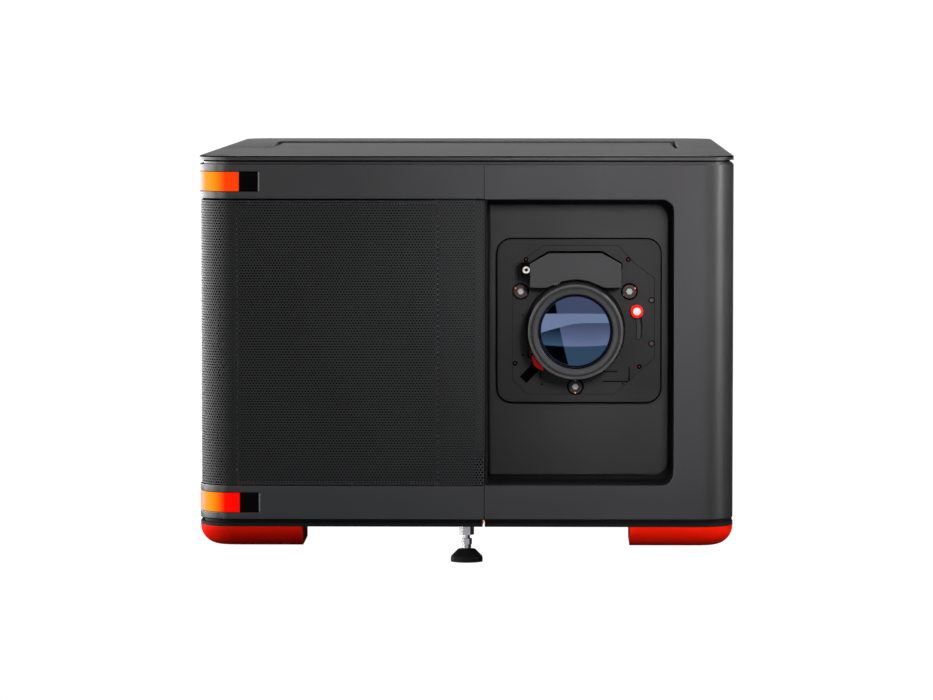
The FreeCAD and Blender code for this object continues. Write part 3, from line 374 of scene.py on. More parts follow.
def plate_shape(name, points, front, rear, width=0.0003, slot="bay_grey", body="body", material=None):
    """An outline of (x, z) corners, drawn back along Y."""
    bm = bmesh.new()
    face = bm.faces.new([bm.verts.new((x, rear, z)) for x, z in points])
    pushed = bmesh.ops.extrude_face_region(bm, geom=[face])
    for item in pushed["geom"]:
        if isinstance(item, bmesh.types.BMVert):
            item.co.y = front
    bmesh.ops.recalc_face_normals(bm, faces=bm.faces)
    if width:
        bevel(bm, width, 1, 30)
    return dress(add_object(name, bm), slot, body, material)


def on_lens(side, up, front):
    """A spot on the lens carriage: side and up from the lens axis, front ahead of the origin, in mm."""
    return (LENS.x + side * MM, -front * MM, LENS.z + up * MM)


def arc_band(name, stations, front, rear, material):
    """A flat band about the lens axis given as (degrees, inner radius, outer radius) stations."""
    outer = []
    inner = []
    for degrees, low, high in stations:
        angle = math.radians(degrees)
        outer.append((LENS.x + high * MM * math.cos(angle), LENS.z + high * MM * math.sin(angle)))
        inner.append((LENS.x + low * MM * math.cos(angle), LENS.z + low * MM * math.sin(angle)))
    return plate_shape(name, outer + inner[::-1], -front * MM, -rear * MM, 0, "bay_grey", "lens", material)


# ---------------------------------------------------------------- covers

def make_covers():
    """Covers and frame with their edges broken."""
    softened("front_cover", 0.0015)
    for node in ("upper_band", "lower_band"):
        softened(node, 0.0011)
    for node in ("right_side_panel", "service_door", "rear_panel"):
        softened(node, 0.0007)
    for node in ("top_front_cover", "top_rear_frame"):
        softened(node, 0.0005, chosen=lambda e: min(v.co.z for v in e.verts) < lid_high.z - 0.001)
    softened("top_hatch", 0.0006)
    softened("base_plate", 0.0006)
    softened("lens_plate", 0.0004, segments=1).data.materials[0] = EXTRA["plate_grey"]
    softened("bay_panel", 0.0009)
    # upper rail faces take the cover paint and the lower ones keep the near-black finish: the lower rail's
    # darkness is painted shade of the joint above the base plate
    frame_rails = softened("chassis_frame", 0.0004, segments=1)
    frame_rails.data.materials.append(FINISH["cover_paint"])
    for face in frame_rails.data.polygons:
        face.material_index = 1 if face.center.z > 0.5 else 0
    softened("motor_housing", 0.0009).data.materials[0] = EXTRA["housing_grey"]
    softened("status_windows", 0.0006, angle=60)
    lights = softened("status_lights", 0.0006, angle=60)
    lights.data.materials.append(EXTRA["light_red"])
    for face in lights.data.polygons:
        face.material_index = 1 if face.center.z < 0.3 else 0


def make_grille():
    """The perforated sheet: staggered round holes in a strip that wraps the left corner."""
    low, high = (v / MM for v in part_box("intake_grille"))
    bend, pitch, rise, bore, gauge, ring = 48.0, 4.2, 3.7, 1.27, 1.0, 12
    flat = high.x - low.x - bend
    arc = bend * math.pi / 2
    length = flat + arc + (high.y - low.y - bend)
    columns = int(length / pitch - 0.5)
    rows = int((high.z - low.z) / rise)
    ks = 2 * columns + 2
    side_margin = (length - (columns + 0.5) * pitch) / 2
    end_margin = (high.z - low.z - rows * rise) / 2
    us = side_margin + np.arange(ks) * pitch / 2
    zs = low.z + end_margin + np.arange(rows + 1) * rise
    us[0], us[-1], zs[0], zs[-1] = 0, length, low.z, high.z

    def bent(u, inset):
        theta = np.clip((u - flat) / bend, 0, math.pi / 2)
        x = high.x - np.minimum(u, flat) - bend * np.sin(theta) + inset * np.sin(theta)
        y = low.y + bend * (1 - np.cos(theta)) + np.maximum(u - flat - arc, 0) + inset * np.cos(theta)
        return x, y

    pieces = 4
    share = -(-columns // pieces)
    angles = np.arange(ring) * 2 * math.pi / ring
    for piece in range(pieces):
        first, last = piece * share, min(columns, (piece + 1) * share)
        points = {}
        coords = []
        polys = []

        def spot(k, j):
            if (k, j) not in points:
                points[k, j] = len(coords)
                coords.append((us[k], zs[j]))
            return points[k, j]

        for j in range(rows):
            lean = j % 2
            middle_z = low.z + end_margin + (j + 0.5) * rise
            for i in range(first, last):
                k = 2 * i + lean
                middle_u = side_margin + (k + 1) * pitch / 2
                hole = len(coords)
                coords.extend(zip(middle_u + bore * np.cos(angles), middle_z + bore * np.sin(angles)))
                rim = [spot(k + 2, j), spot(k + 2, j + 1), spot(k + 1, j + 1), spot(k, j + 1), spot(k, j),
                       spot(k + 1, j)]
                for m in range(6):
                    polys.append((rim[m], rim[(m + 1) % 6], hole + (2 * m + 1) % ring, hole + 2 * m,
                                  hole + (2 * m - 1) % ring))
            if first == 0 and lean:
                polys.append((spot(0, j), spot(1, j), spot(1, j + 1), spot(0, j + 1)))
            if last == columns and not lean:
                polys.append((spot(ks - 2, j), spot(ks - 1, j), spot(ks - 1, j + 1), spot(ks - 2, j + 1)))
        count = len(coords)
        flat_coords = np.array(coords)
        verts = []
        for inset in (0.0, gauge):
            x, y = bent(flat_coords[:, 0], inset)
            verts.append(np.stack((x, y, flat_coords[:, 1]), axis=1))
        edges = {(a, b) for poly in polys for a, b in zip(poly, poly[1:] + poly[:1])}
        walls = [(b, a, a + count, b + count) for a, b in edges if (b, a) not in edges]
        faces = polys + [tuple(v + count for v in reversed(poly)) for poly in polys] + walls
        mesh = bpy.data.meshes.new(f"grille_sheet_{piece + 1}")
        mesh.from_pydata((np.concatenate(verts) * MM).tolist(), [], faces)
        mesh.update()
        obj = bpy.data.objects.new(mesh.name, mesh)
        bpy.context.scene.collection.objects.link(obj)
        dress(obj, "grille_black", "grille")
        if piece == 0:
            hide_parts("intake_grille")


# ---------------------------------------------------------------- screws and small hardware

def socket_screw(name, at, axis, radius, height):
    """Round head with a broken edge and a hexagon socket."""
    key = radius * 0.55
    rings = [(radius, -0.3), (radius, height * 0.7), (radius * 0.9, height), (key * 1.1, height),
             (key, height - 0.2, 6), (key, height * 0.25, 6)]
    return spun(name, rings, at, axis, 36, "bright_steel")


def make_top_details():
    """The lid's two front screws, and four more in their dimples behind them."""
    screw_low, screw_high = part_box("cover_screws")
    screw_inset, side, back = 0.005, 0.3455, 0.535
    y = (screw_low.y + screw_high.y) / 2
    for number, x in enumerate((screw_low.x + screw_inset, screw_high.x - screw_inset), start=1):
        obj = socket_screw(f"lid_screw_{number}", (x, y, screw_low.z), "z", 4.9, 1.2)
        if number == 1:
            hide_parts("cover_screws")
    for number, (x, y) in enumerate(((-side, back), (side, back), (-side, 0.0), (side, 0.0)), start=1):
        spun(f"lid_dimple_{number}", [(6.4, -0.4), (6.4, 0.15), (5.6, 0.25), (5.3, 0.02), (5.3, -0.4)],
             (x, y, lid_high.z), "z", 36, "chassis_black", "body", closed=True)
        socket_screw(f"lid_screw_{number + 2}", (x, y, lid_high.z - 0.0006), "z", 4.4, 0.9)


def plan_shade_line(name, profile):
    """Dark line of painted shade that follows the body's rounded plan, from (inset, height) pairs in mm."""
    half_x, half_y = cad_low_high[1][0] / MM, cad_low_high[1][1] / MM
    rows = []
    for inset, height in profile:
        row = []
        for turn, (side, depth) in enumerate(((1, 1), (-1, 1), (-1, -1), (1, -1))):
            for step in range(13):
                angle = math.radians(90 * turn + 7.5 * step)
                x = side * (half_x - CORNER) + (CORNER - inset) * math.cos(angle)
                y = depth * (half_y - CORNER) + (CORNER - inset) * math.sin(angle)
                row.append((x * MM, y * MM, height * MM))
        rows.append(row)
    dark_ring(name, rows, "body")


def make_lid_lines():
    """Fine dark line round the lid's top edge, painted shade on its rounded edge, and a dark strip at its
    foot, painted shadow under the lid's overhang.
    """
    edge, proud, sunk = 2.5, 0.12, 0.3
    middle = lid_high.z / MM - edge
    turns = [math.radians(angle) for angle in (6, 21, 36, 50)]
    outer = [(edge - (edge + proud) * math.cos(a), middle + (edge + proud) * math.sin(a)) for a in turns]
    inner = [(edge - (edge - sunk) * math.cos(a), middle + (edge - sunk) * math.sin(a)) for a in turns]
    plan_shade_line("lid_edge_shade", outer + inner[::-1])
    plan_shade_line("lid_foot_shadow", [(5.5, 571.3), (5.5, 573.5), (6.4, 573.5), (6.4, 571.3)])


def make_adjusters():
    """Each adjuster: dark cup, grey disc, red ring, washer and head, with two dots beside it."""
    dots = {1: ((-7.6, 4.8), (8.6, -4.9)), 2: ((8.4, 4.8), (-8.6, -5.0)), 3: ((0.0, -8.8), (0.0, 9.0))}
    for number, (side, up) in {1: (-78, 53), 2: (77, 53), 3: (0, -83)}.items():
        at = on_lens(side, up, FACE)
        spun(f"adjuster_cup_{number}", [(12.1, -4.9), (12.1, -0.1), (11.2, -0.1), (9.9, -1.2), (9.9, -2.0),
                                        (8.4, -2.0), (8.4, -4.9)],
             at, "-y", 48, "chassis_black", "lens", "hole_black", closed=True)
        spun(f"adjuster_disc_{number}", [(9.9, -4.0), (9.9, -1.9), (9.6, -1.6), (8.5, -1.6), (8.3, -2.6),
                                         (8.3, -4.0)],
             at, "-y", 48, "bay_grey", "lens", closed=True)
        spun(f"adjuster_ring_{number}", [(8.9, -1.9), (8.9, -1.5), (8.4, -1.5), (8.4, -1.9)],
             at, "-y", 48, "bay_grey", "lens", "dark_red", closed=True)
        disc = spun(f"adjuster_washer_{number}", [(4.0, -8.0), (4.0, -4.7), (8.0, -4.7), (8.0, -3.0),
                                                  (7.3, -2.4), (3.6, -2.4)],
                    at, "-y", 48, "bright_steel", f"adjuster_{number}", "band_grey")
        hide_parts(f"adjuster_screw_{number}")
        spun(f"adjuster_head_{number}", [(4.6, -2.6, 6), (4.6, -0.5, 6), (4.1, 0.2, 6), (2.3, 0.2, 6),
                                         (2.1, -0.7, 6)],
             at, "-y", 36, "bright_steel", f"adjuster_{number}", "head_grey")
        for name, (right, rise), paint, radius in (("mark", dots[number][0], "amber_dot_glowing", 1.25),
                                                   ("pin", dots[number][1], "port_steel", 0.9)):
            spun(f"adjuster_{name}_{number}", [(radius, -2.2), (radius, -1.2), (radius * 0.6, -0.9)],
                 on_lens(side + right, up + rise, FACE), "-y", 16, "bay_grey", "lens", paint)


def make_plate_holes():
    """Sockets with a red mark deep inside, two ringed screws and the tapped holes of the lens plate."""
    for number, (side, up) in enumerate(((-70.5, 98.7), (75.2, 98.7), (-86, -49.7), (91.1, -54.2)), start=1):
        spun(f"socket_wall_{number}", [(3.35, -6.5), (3.35, 0.25), (2.9, 0.35), (2.6, -0.6), (1.2, -0.8),
                                       (1.2, -6.5)],
             on_lens(side, up, FACE), "-y", 28, "chassis_black", "lens", "hole_black", closed=True)
        spun(f"socket_mark_{number}", [(1.2, -6.4), (1.2, -0.7), (0.8, -0.5)],
             on_lens(side, up, FACE), "-y", 20, "bay_grey", "lens", "dark_red")
    for number, (side, up) in enumerate(((108.5, 40.7), (108.5, -21.2)), start=1):
        at = on_lens(side, up, FACE)
        spun(f"ring_washer_{number}", [(4.45, -0.2), (4.45, 0.3), (3.05, 0.3), (3.05, -0.2)],
             at, "-y", 32, "chassis_black", "lens", "hole_black", closed=True)
        spun(f"ring_screw_{number}", [(3.0, -0.2), (3.0, 0.6), (2.6, 0.9), (1.0, 0.9)],
             at, "-y", 32, "bay_grey", "lens", "rim_grey")
        spun(f"ring_mark_{number}", [(1.0, -0.2), (1.0, 1.0), (0.6, 1.05)], at, "-y", 12, "bay_grey", "lens",
             "dark_red")
    # the tapped holes are black discs on the plate: painted shade of the holes' insides
    for number, (side, up) in enumerate(((-75.2, 19.3), (-75.2, -38.0), (-67.3, -25.6), (66.9, -25.8),
                                         (-48.1, -79.5), (67.3, -78.7)), start=1):
        spun(f"tapped_hole_{number}", [(1.25, -0.4), (1.25, 0.12), (0.8, 0.05)],
             on_lens(side, up, FACE - 0.5), "-y", 16, "chassis_black", "lens", "hole_black")


def make_barrel_and_glass():
    """Barrel turned in one piece, with its rim, groove and bands, and the domed front element. The rim's
    lighter grey is a painted highlight; the groove's darker grey and the black inner bevel are painted shade.
    """
    axis = on_lens(0, 0, 0)
    rings = [(46, 380), (52, 380), (52, 436), (70, 436), (70, 443.5), (52, 443.5), (52, 474.7), (62, 474.7),
             (62, 484.5), (60, 484.5), (60, 497.5), (66, 497.5), (66, 501.5), (60, 501.5), (60, 516.5),
             (66.6, 516.5), (67, 516.9), (67, 563), (66, 564), (64, 564), (63.4, 562), (60, 562),
             (59.5, 563.2), (54.4, 561.8), (51.05, 552), (51.05, 538), (46, 538)]
    barrel = spun("barrel_body", rings, axis, "-y", 160, "barrel_black", "lens", closed=True)
    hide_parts("lens_barrel")
    # rim in a lighter grey: painted highlight; groove in a darker grey and bevel in black: painted shade
    spun("nose_rim", [(67.05, 562.4), (67.05, 563.1), (66.1, 564.05), (64, 564.05), (64, 562.4)], axis, "-y",
         160, "barrel_black", "lens", "rim_grey", closed=True)
    spun("nose_groove", [(63.6, 561.6), (63.6, 562.1), (59.9, 562.1), (59.9, 561.6)], axis, "-y", 160,
         "barrel_black", "lens", "groove_shade_grey", closed=True)
    spun("nose_band", [(59.6, 561.4), (59.55, 563.25), (54.4, 561.9), (52.6, 557.0), (52.6, 555.5)], axis,
         "-y", 160, "barrel_black", "lens", "band_grey", closed=True)
    spun("nose_bevel", [(52.55, 555.5), (52.55, 556.75), (51.1, 552.4), (51.1, 551.0)], axis, "-y", 160,
         "barrel_black", "lens", "hole_black", closed=True)
    dome = [(48, 538), (51, 542), (51, 550.8)]
    dome += [(51 * (1 - i / 40), 557.8 - (51 * (1 - i / 40)) ** 2 / (2 * DOME_RADIUS)) for i in range(40)]
    glass = spun("front_element", dome, axis, "-y", 160, "coated_glass", "lens")
    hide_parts("front_glass")


def make_lock_details():
    """Red knob with its pale cap, and dark rims round its open slot: painted shade of the slot's walls."""
    rest = math.radians(LEVER_REST)
    knob = on_lens(LEVER_REACH * math.cos(rest), LEVER_REACH * math.sin(rest), FACE)
    spun("lock_knob_skirt", [(9.1, 0.9), (9.1, 10.9), (8.9, 11.2), (8.3, 11.4), (5.6, 11.4), (5.6, 0.9)],
         knob, "-y", 48, "bay_grey", "lens_lock", "red_paint_glowing", closed=True)
    spun("lock_knob_cap", [(5.6, 4.0), (5.6, 11.6), (4.9, 11.9), (2.5, 12.0)], knob, "-y", 40,
         "bay_grey", "lens_lock", "pearl")
    # the black rims along the slot's edges are painted shade of its walls
    half_slot, dark_rim = 3.6, 0.8
    for name, inner in (("near", LEVER_REACH - half_slot - dark_rim), ("far", LEVER_REACH + half_slot)):
        stations = [(LEVER_REST - LEVER_SWING * i / 16, inner, inner + dark_rim) for i in range(17)]
        arc_band(f"lock_slot_edge_shade_{name}", stations, FACE + 0.25, FACE - 0.2, "hole_black")
    end = LEVER_REST - LEVER_SWING
    foot = math.radians(end)
    rim = [(half_slot + dark_rim, -0.2), (half_slot + dark_rim, 0.25), (half_slot, 0.25), (half_slot, -0.2)]
    spun("lock_slot_end_shade", rim, on_lens(LEVER_REACH * math.cos(foot), LEVER_REACH * math.sin(foot), FACE), "-y",
         16, "bay_grey", "lens", "hole_black", closed=True, degrees=(end - 180, end))


def make_camera_eye():
    """Pale ring and dark lens of the alignment camera."""
    at = on_lens(-69.9, 85.9, 532)
    spun("eye_ring", [(5.2, -1.4), (5.2, 0.2), (4.4, 0.9), (3.2, 0.9), (2.5, 0.1), (2.5, -1.4)], at, "-y", 40,
         "bright_steel", "lens", "pearl", closed=True)
    spun("eye_lens", [(2.5, -1.4), (2.5, -0.3), (1.6, 0.1), (0.7, 0.25)], at, "-y", 28, "window_black",
         "lens")


def make_marks():
    """Red scale pieces, a black patch, tab and ledges around the barrel, with painted shade for a radial
    slot's inside and painted shadows beside the box and above the motor housing.
    """
    foot = FACE - 0.4
    band = [(204 + i, 69.2, 71.5 + 0.15 * i) for i in range(6)]
    arc_band("scale_red_high", band, FACE + 3.0, foot, "red_paint_glowing")
    band = [(212 + i, 69.0 + max(0.0, i - 14) * 0.9, min(73.2 + 0.55 * i, 78.4) - max(0, i - 13) * 0.35)
            for i in range(21)]
    arc_band("scale_red_low", band, FACE + 3.0, foot, "red_paint_glowing")
    arc_band("scale_red_left", [(141 + i, 72.6, 73.4) for i in range(18)], FACE + 0.6, foot, "dark_red")
    # black patch on the plate: painted shade of a radial slot's inside
    corners = [(-61.9, -50.2), (-51.9, -59.2), (-69.6, -77.8), (-79.2, -68.8)]
    plate_shape("slot_shade_patch", [(LENS.x + a * MM, LENS.z + b * MM) for a, b in corners], -(FACE + 1.2) * MM,
                -foot * MM, 0.0003, "chassis_black", "lens", "hole_black")
    for name, low, high, front, rear, edge, slot, paint in (
            ("index_tab", (-68.2, -41.6), (-61.4, -30.2), FACE + 1.2, foot, 0.0004, "chassis_black",
             "hole_black"),
            ("index_tab_face", (-66.6, -40.0), (-63.0, -31.8), FACE + 1.6, foot, 0.0003, "bay_grey", None),
            ("ledge_upright", (-50.4, -71.0), (-49.0, -58.8), FACE + 0.3, foot, 0.0002, "chassis_black",
             "hole_black"),
            ("ledge_long", (-49.4, -77.4), (37.8, -76.9), FACE + 0.1, foot, 0.0001, "chassis_black", None),
            ("box_line", (40.0, -61.6), (60.0, -60.2), FACE + 3.9, FACE + 3.0, 0.0002, "chassis_black",
             "hole_black"),
            ("box_shadow_low", (38.8, -76.0), (75.0, -74.2), FACE + 1.0, foot, 0.0003, "chassis_black",
             "hole_black"),
            ("box_shadow_right", (75.6, -74.6), (77.4, -54.0), FACE + 1.0, foot, 0.0003, "chassis_black",
             "hole_black")):
        block(name, on_lens(*low, front), on_lens(*high, rear), edge, slot, "lens", paint)
    # black plate standing out above the motor housing: painted shadow along the housing's top
    corners = [(-66, 94.1), (-38.3, 110.8), (38.3, 110.8), (66, 94.1), (66, 87), (-66, 87)]
    plate_shape("housing_top_shadow", [(LENS.x + a * MM, LENS.z + b * MM) for a, b in corners], -(FACE + 44) * MM,
                -foot * MM, 0.0003, "chassis_black", "lens", "hole_black")


def make_plate_outline():
    """Black ring in the joint round the lens plate: painted shade of the gap."""
    low, high = plate_low, plate_high
    radius, front, rear = 0.020, -0.4822, -0.4762
    loops = []
    for grow in (0.0003, 0.0021):
        loop = []
        for cx, cz, start in ((high.x - radius, high.z - radius, 0), (low.x + radius, high.z - radius, 90),
                              (low.x + radius, low.z + radius, 180), (high.x - radius, low.z + radius, 270)):
            for i in range(9):
                angle = math.radians(start + 90 * i / 8)
                loop.append((cx + (radius + grow) * math.cos(angle), cz + (radius + grow) * math.sin(angle)))
        loops.append(loop)
    inner, outer = loops
    rows = [[(x, y, z) for x, z in loop]
            for loop, y in ((inner, front), (outer, front), (outer, rear), (inner, rear))]
    dark_ring("plate_gap_shade", rows, "lens")


def make_recess_shade():
    """Fine dark line at the foot of the lens plate's shallow recess: painted shade of its step."""
    corners = [(-45, 119), (61, 119), (84, 94), (113, 72), (113, -42), (55, -94), (-69, -94), (-90, -73),
               (-90, 90), (-66, 105)]
    rows = [[on_lens(side * shrink, up * shrink, front) for side, up in corners]
            for shrink, front in ((1.0, 482.02), (0.995, 482.02), (0.995, 481.8), (1.0, 481.8))]
    dark_ring("recess_step_shade", rows, "lens")


# ---------------------------------------------------------------- feet, rear and sides

def make_front_accents():
    """Pale strip beside each status window, a painted highlight on its edge, and an orange spot in the seam
    above the base plate, glowing a little as painted light.
    """
    low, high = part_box("status_windows")
    height = 0.027
    # pale strips beside the windows: painted highlight on the windows' edges
    for name, bottom in (("low", low.z), ("high", high.z - height)):
        block(f"window_edge_highlight_{name}", (high.x + 0.0003, base_low.y - 0.0002, bottom),
              (high.x + 0.0022, base_low.y + 0.0015, bottom + height), 0.0002, "cover_paint", "body",
              "edge_highlight_grey")
    # orange spot in the seam, glowing a little: painted light
    block("seam_orange_spot", (0.0240, base_low.y, base_high.z + 0.0002), (0.0262, base_low.y + 0.003, 0.0655),
          0.0002, "light_orange", "body", "amber_dot_glowing")


def make_feet_details():
    """Rubber cone and sole of each pad, and the hexagon nut above it."""
    for name in ("front", "rear_left", "rear_right"):
        low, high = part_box(f"foot_pad_{name}")
        x, y = (low.x + high.x) / 2, (low.y + high.y) / 2
        spun(f"pad_cone_{name}", [(22.4, 5.7), (22.4, 7.0), (21.4, 8.6), (12.8, 17.4), (11.6, 17.9),
                                  (6.0, 17.9)],
             (x, y, 0), "z", 56, "pad_rubber", f"{name}_pad")
        spun(f"pad_sole_{name}", [(21.6, 0.0), (22.7, 0.8), (22.8, 4.6), (22.2, 5.6), (20.0, 5.7)],
             (x, y, 0), "z", 56, "pad_rubber", f"{name}_pad")
        spun(f"foot_nut_{name}", [(6.6, 24.6), (7.5, 25.3, 6), (7.5, 32.1, 6), (6.6, 32.9)],
             (x, y, 0), "z", 48, "bright_steel", f"{name}_stem")


def make_ports():
    """Rear connectors: each a metal shell round a dark mouth with its contacts."""
    face = rear_face - 0.003
    kinds = ("hdmi", "hdmi", "lan", "lan", "usb", "jack")
    left = 0.078
    for column in range(6):
        for row, low in enumerate((0.170, 0.212, 0.254)):
            x = left + 0.034 * column + 0.010
            z = low + 0.007
            kind = kinds[(column + 2 * row) % 6]
            name = f"port_{kind}_{column}_{row}"
            if kind == "jack":
                spun(name + "_nut", [(5.6, 0), (5.6, 2.2, 6), (5.0, 2.6), (3.0, 2.6), (3.0, 0)], (x, face, z),
                     "y", 36, "bright_steel", "body", "gold", closed=True)
                spun(name + "_mouth", [(3.0, 0.0), (3.0, 2.1), (1.5, 1.2)], (x, face, z), "y", 24,
                     "fan_plastic", "body", "hole_black")
                continue
            half_x, half_z = {"hdmi": (7.4, 2.6), "lan": (7.6, 6.6), "usb": (7.0, 3.4)}[kind]
            block(name + "_shell", (x - half_x * MM, face - 0.001, z - half_z * MM),
                  (x + half_x * MM, face + 0.0026, z + half_z * MM), 0.0006, "bright_steel", "body",
                  "port_steel")
            block(name + "_mouth", (x - (half_x - 1) * MM, face, z - (half_z - 1) * MM),
                  (x + (half_x - 1) * MM, face + 0.00275, z + (half_z - 1) * MM), 0.0002, "fan_plastic",
                  "body", "hole_black")
            block(name + "_tongue", (x - (half_x - 2.2) * MM, face, z - 0.0006),
                  (x + (half_x - 2.2) * MM, face + 0.0029, z + 0.0006), 0.0002, "fan_plastic", "body",
                  "port_blue" if kind == "usb" else "gold")


def make_board_parts():
    """Chips, connectors and capacitors on the outer board, behind the door."""
    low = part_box("circuit_boards")[0]
    chips = ((30, 60, 34, 34, 3), (30, 150, 26, 26, 3), (40, 250, 40, 40, 9), (120, 90, 44, 44, 12),
             (130, 200, 22, 30, 3),
             (120, 290, 30, 22, 3), (120, 370, 26, 26, 3), (220, 50, 18, 60, 6), (220, 160, 36, 36, 3),
             (215, 260, 50, 50, 14), (230, 370, 24, 24, 3), (310, 70, 40, 26, 3), (310, 170, 20, 70, 8),
             (310, 300, 30, 30, 3), (310, 380, 36, 20, 5))
    cooled = (3, 4, 10)
    for number, (back, up, wide, tall, thick) in enumerate(chips, start=1):
        cooler = number in cooled
        corner = Vector((low.x - thick * MM, low.y + back * MM, low.z + up * MM))
        block(f"board_part_{number}", corner, corner + Vector((thick, wide, tall)) * MM, 0.0005,
              "cast_alloy" if cooler else "fan_plastic", "body")
        for fin in range(6 if cooler else 0):
            edge = corner + Vector((-6, 1 + fin * (wide - 4) / 5, 0)) * MM
            block(f"board_fin_{number}_{fin}", edge, edge + Vector((6.5, 2, tall)) * MM, 0.0003, "cast_alloy",
                  "body")
    for number in range(14):
        spot = (low.x, low.y + (90 + 155 * (number % 2)) * MM, low.z + (25 + 29 * number) * MM)
        spun(f"board_capacitor_{number}", [(6, -0.2), (6, 11.4), (5.5, 12), (2, 12)], spot, "-x", 28,
             "bright_steel", "body")


def make_supply_parts():
    """Transformer, capacitors and heat sink in each open power supply."""
    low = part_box("power_supplies")[0]
    for tier in range(3):
        floor = low.z + (140 * tier + 3) * MM
        for name, y, wide, tall, slot, paint in (("core", 60, 64, 56, "cast_alloy", None),
                                                 ("winding", 70, 44, 66, "fan_plastic", "gold")):
            block(f"supply_{name}_{tier}", (low.x + 0.012, low.y + y * MM, floor),
                  (low.x + 0.070, low.y + (y + wide) * MM, floor + tall * MM), 0.002, slot, "body", paint)
        for number in range(4):
            spun(f"supply_capacitor_{tier}_{number}", [(14, -0.2), (14, 56), (13, 57.5), (11, 57), (4, 57)],
                 (low.x + 0.030, low.y + (160 + 32 * number) * MM, floor), "z", 36, "fan_plastic", "body")
        for fin in range(9):
            block(f"supply_fin_{tier}_{fin}", (low.x + 0.010, low.y + (292 + 8 * fin) * MM, floor),
                  (low.x + 0.080, low.y + (294.4 + 8 * fin) * MM, floor + 0.080), 0.0004, "cast_alloy",
                  "body")


def make_panel_screws():
    """Screws of the rear and side panels, and the rim of the door's pull."""
    radius, height, sunk = 3.6, 1.6, 0.0002
    number = 0
    for z in (0.085, 0.32, 0.55):
        for x in (-0.345, -0.02, 0.345):
            number += 1
            socket_screw(f"rear_screw_{number}", (x, rear_face - sunk, z), "y", radius, height)
    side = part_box("right_side_panel")[1].x
    for z in (0.085, 0.55):
        for y in (-0.42, -0.14, 0.14, 0.42):
            number += 1
            socket_screw(f"side_screw_{number}", (side - sunk, y, z), "x", radius, height)
    door_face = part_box("service_door")[0].x
    spun("door_pull_rim", [(16, -0.2), (16, 0.5), (15, 0.9), (13, 0.9), (12.7, 0.2), (12.7, -0.2)],
         (door_face, -0.425, 0.317), "-x", 48, "bright_steel", "door", closed=True)


# ---------------------------------------------------------------- camera, floor and light

def make_camera():
    """A long lens a little above the lid, turned slightly left and down."""
    distance = 6.893
    turn_left = math.radians(1.103)
    look_down = math.radians(3.732)
    side_step, above_lid = 0.1337, 0.176
    camera = bpy.data.cameras.new("camera")
    camera.sensor_width = 36
    camera.lens = 189.07
    camera.clip_end = 100
    holder = bpy.data.objects.new("camera", camera)
    holder.location = (side_step, base_low.y - distance, lid_high.z + above_lid)
    holder.rotation_euler = (math.pi / 2 - look_down, 0, turn_left)
    bpy.context.scene.collection.objects.link(holder)
    bpy.context.scene.camera = holder


def softbox(name, at, aim, width, height, power, spread=180, glossy=True):
    """A rectangular lamp, aimed at a spot and hidden from the camera itself."""
    light = bpy.data.lights.new(name, "AREA")
    light.shape = "RECTANGLE"
    light.size = width
    light.size_y = height
    light.energy = power
    light.spread = math.radians(spread)
    holder = bpy.data.objects.new(name, light)
    holder.location = at
    holder.rotation_euler = (Vector(aim) - Vector(at)).to_track_quat("-Z", "Y").to_euler()
    holder.visible_camera = False
    holder.visible_glossy = glossy
    bpy.context.scene.collection.objects.link(holder)


def make_studio():
    """White backdrop for the camera, dim fill for the object, and the lamps."""
    world = bpy.data.worlds.new("studio")
    bpy.context.scene.world = world
    world.use_nodes = True
    tree = world.node_tree
    tree.nodes.clear()
    out = tree.nodes.new("ShaderNodeOutputWorld")
    mix = tree.nodes.new("ShaderNodeMixShader")
    seen = tree.nodes.new("ShaderNodeLightPath")
    backdrop = tree.nodes.new("ShaderNodeBackground")
    fill = tree.nodes.new("ShaderNodeBackground")
    backdrop.inputs["Color"].default_value = (1, 1, 1, 1)
    backdrop.inputs["Strength"].default_value = PAPER_WHITE
    fill.inputs["Color"].default_value = (1, 1, 1, 1)
    fill.inputs["Strength"].default_value = 0.022
    tree.links.new(seen.outputs["Is Camera Ray"], mix.inputs[0])
    tree.links.new(fill.outputs[0], mix.inputs[1])
    tree.links.new(backdrop.outputs[0], mix.inputs[2])
    tree.links.new(mix.outputs[0], out.inputs[0])
    middle = (0.0, -0.3, 0.3)
    softbox("key", (1.6, -4.5, 3.2), middle, 2.2, 1.6, 8, glossy=False)
    softbox("near_right", (1.3, -1.3, 1.3), (0.1, -0.56, 0.35), 0.5, 0.5, 8)
    softbox("bay_front", (0.60, -3.2, 0.95), (0.34, -0.5, 0.50), 0.4, 0.4, 3.1, spread=22, glossy=False)
    softbox("right_strip", (3.2, -1.3, 1.6), (0.377, -0.55, 0.4), 0.5, 2.6, 84)
    softbox("left_wall", (-2.6, -0.30, 0.9), (-0.35, -0.5, 0.35), 2.8, 2.4, 115)
    softbox("left_front", (-2.1, -2.35, 0.9), (-0.36, -0.55, 0.35), 0.6, 2.2, 22)
    softbox("left_back", (-2.4, 2.0, 1.2), (-0.377, 0.0, 0.58), 2.4, 2.0, 115, glossy=False)
    softbox("left_low", (-2.4, 2.0, 0.29), (-0.377, 0.0, 0.28), 2.4, 0.5, 35)
    # dim glows behind the lid, each reaching further right, so its sheen fades from left to right
    for number, (end, power) in enumerate(((-0.42, 6.0), (-0.15, 3.5), (0.25, 2.0), (3.0, 5.8)), start=1):
        middle_x = (end - 3.0) / 2
        softbox(f"lid_glow_{number}", (middle_x, 2.6, 0.85), (middle_x, 0.0, 0.58), end + 3.0, 0.4, power)
    softbox("over", (-0.4, 1.4, 3.6), middle, 3.0, 2.4, 70)


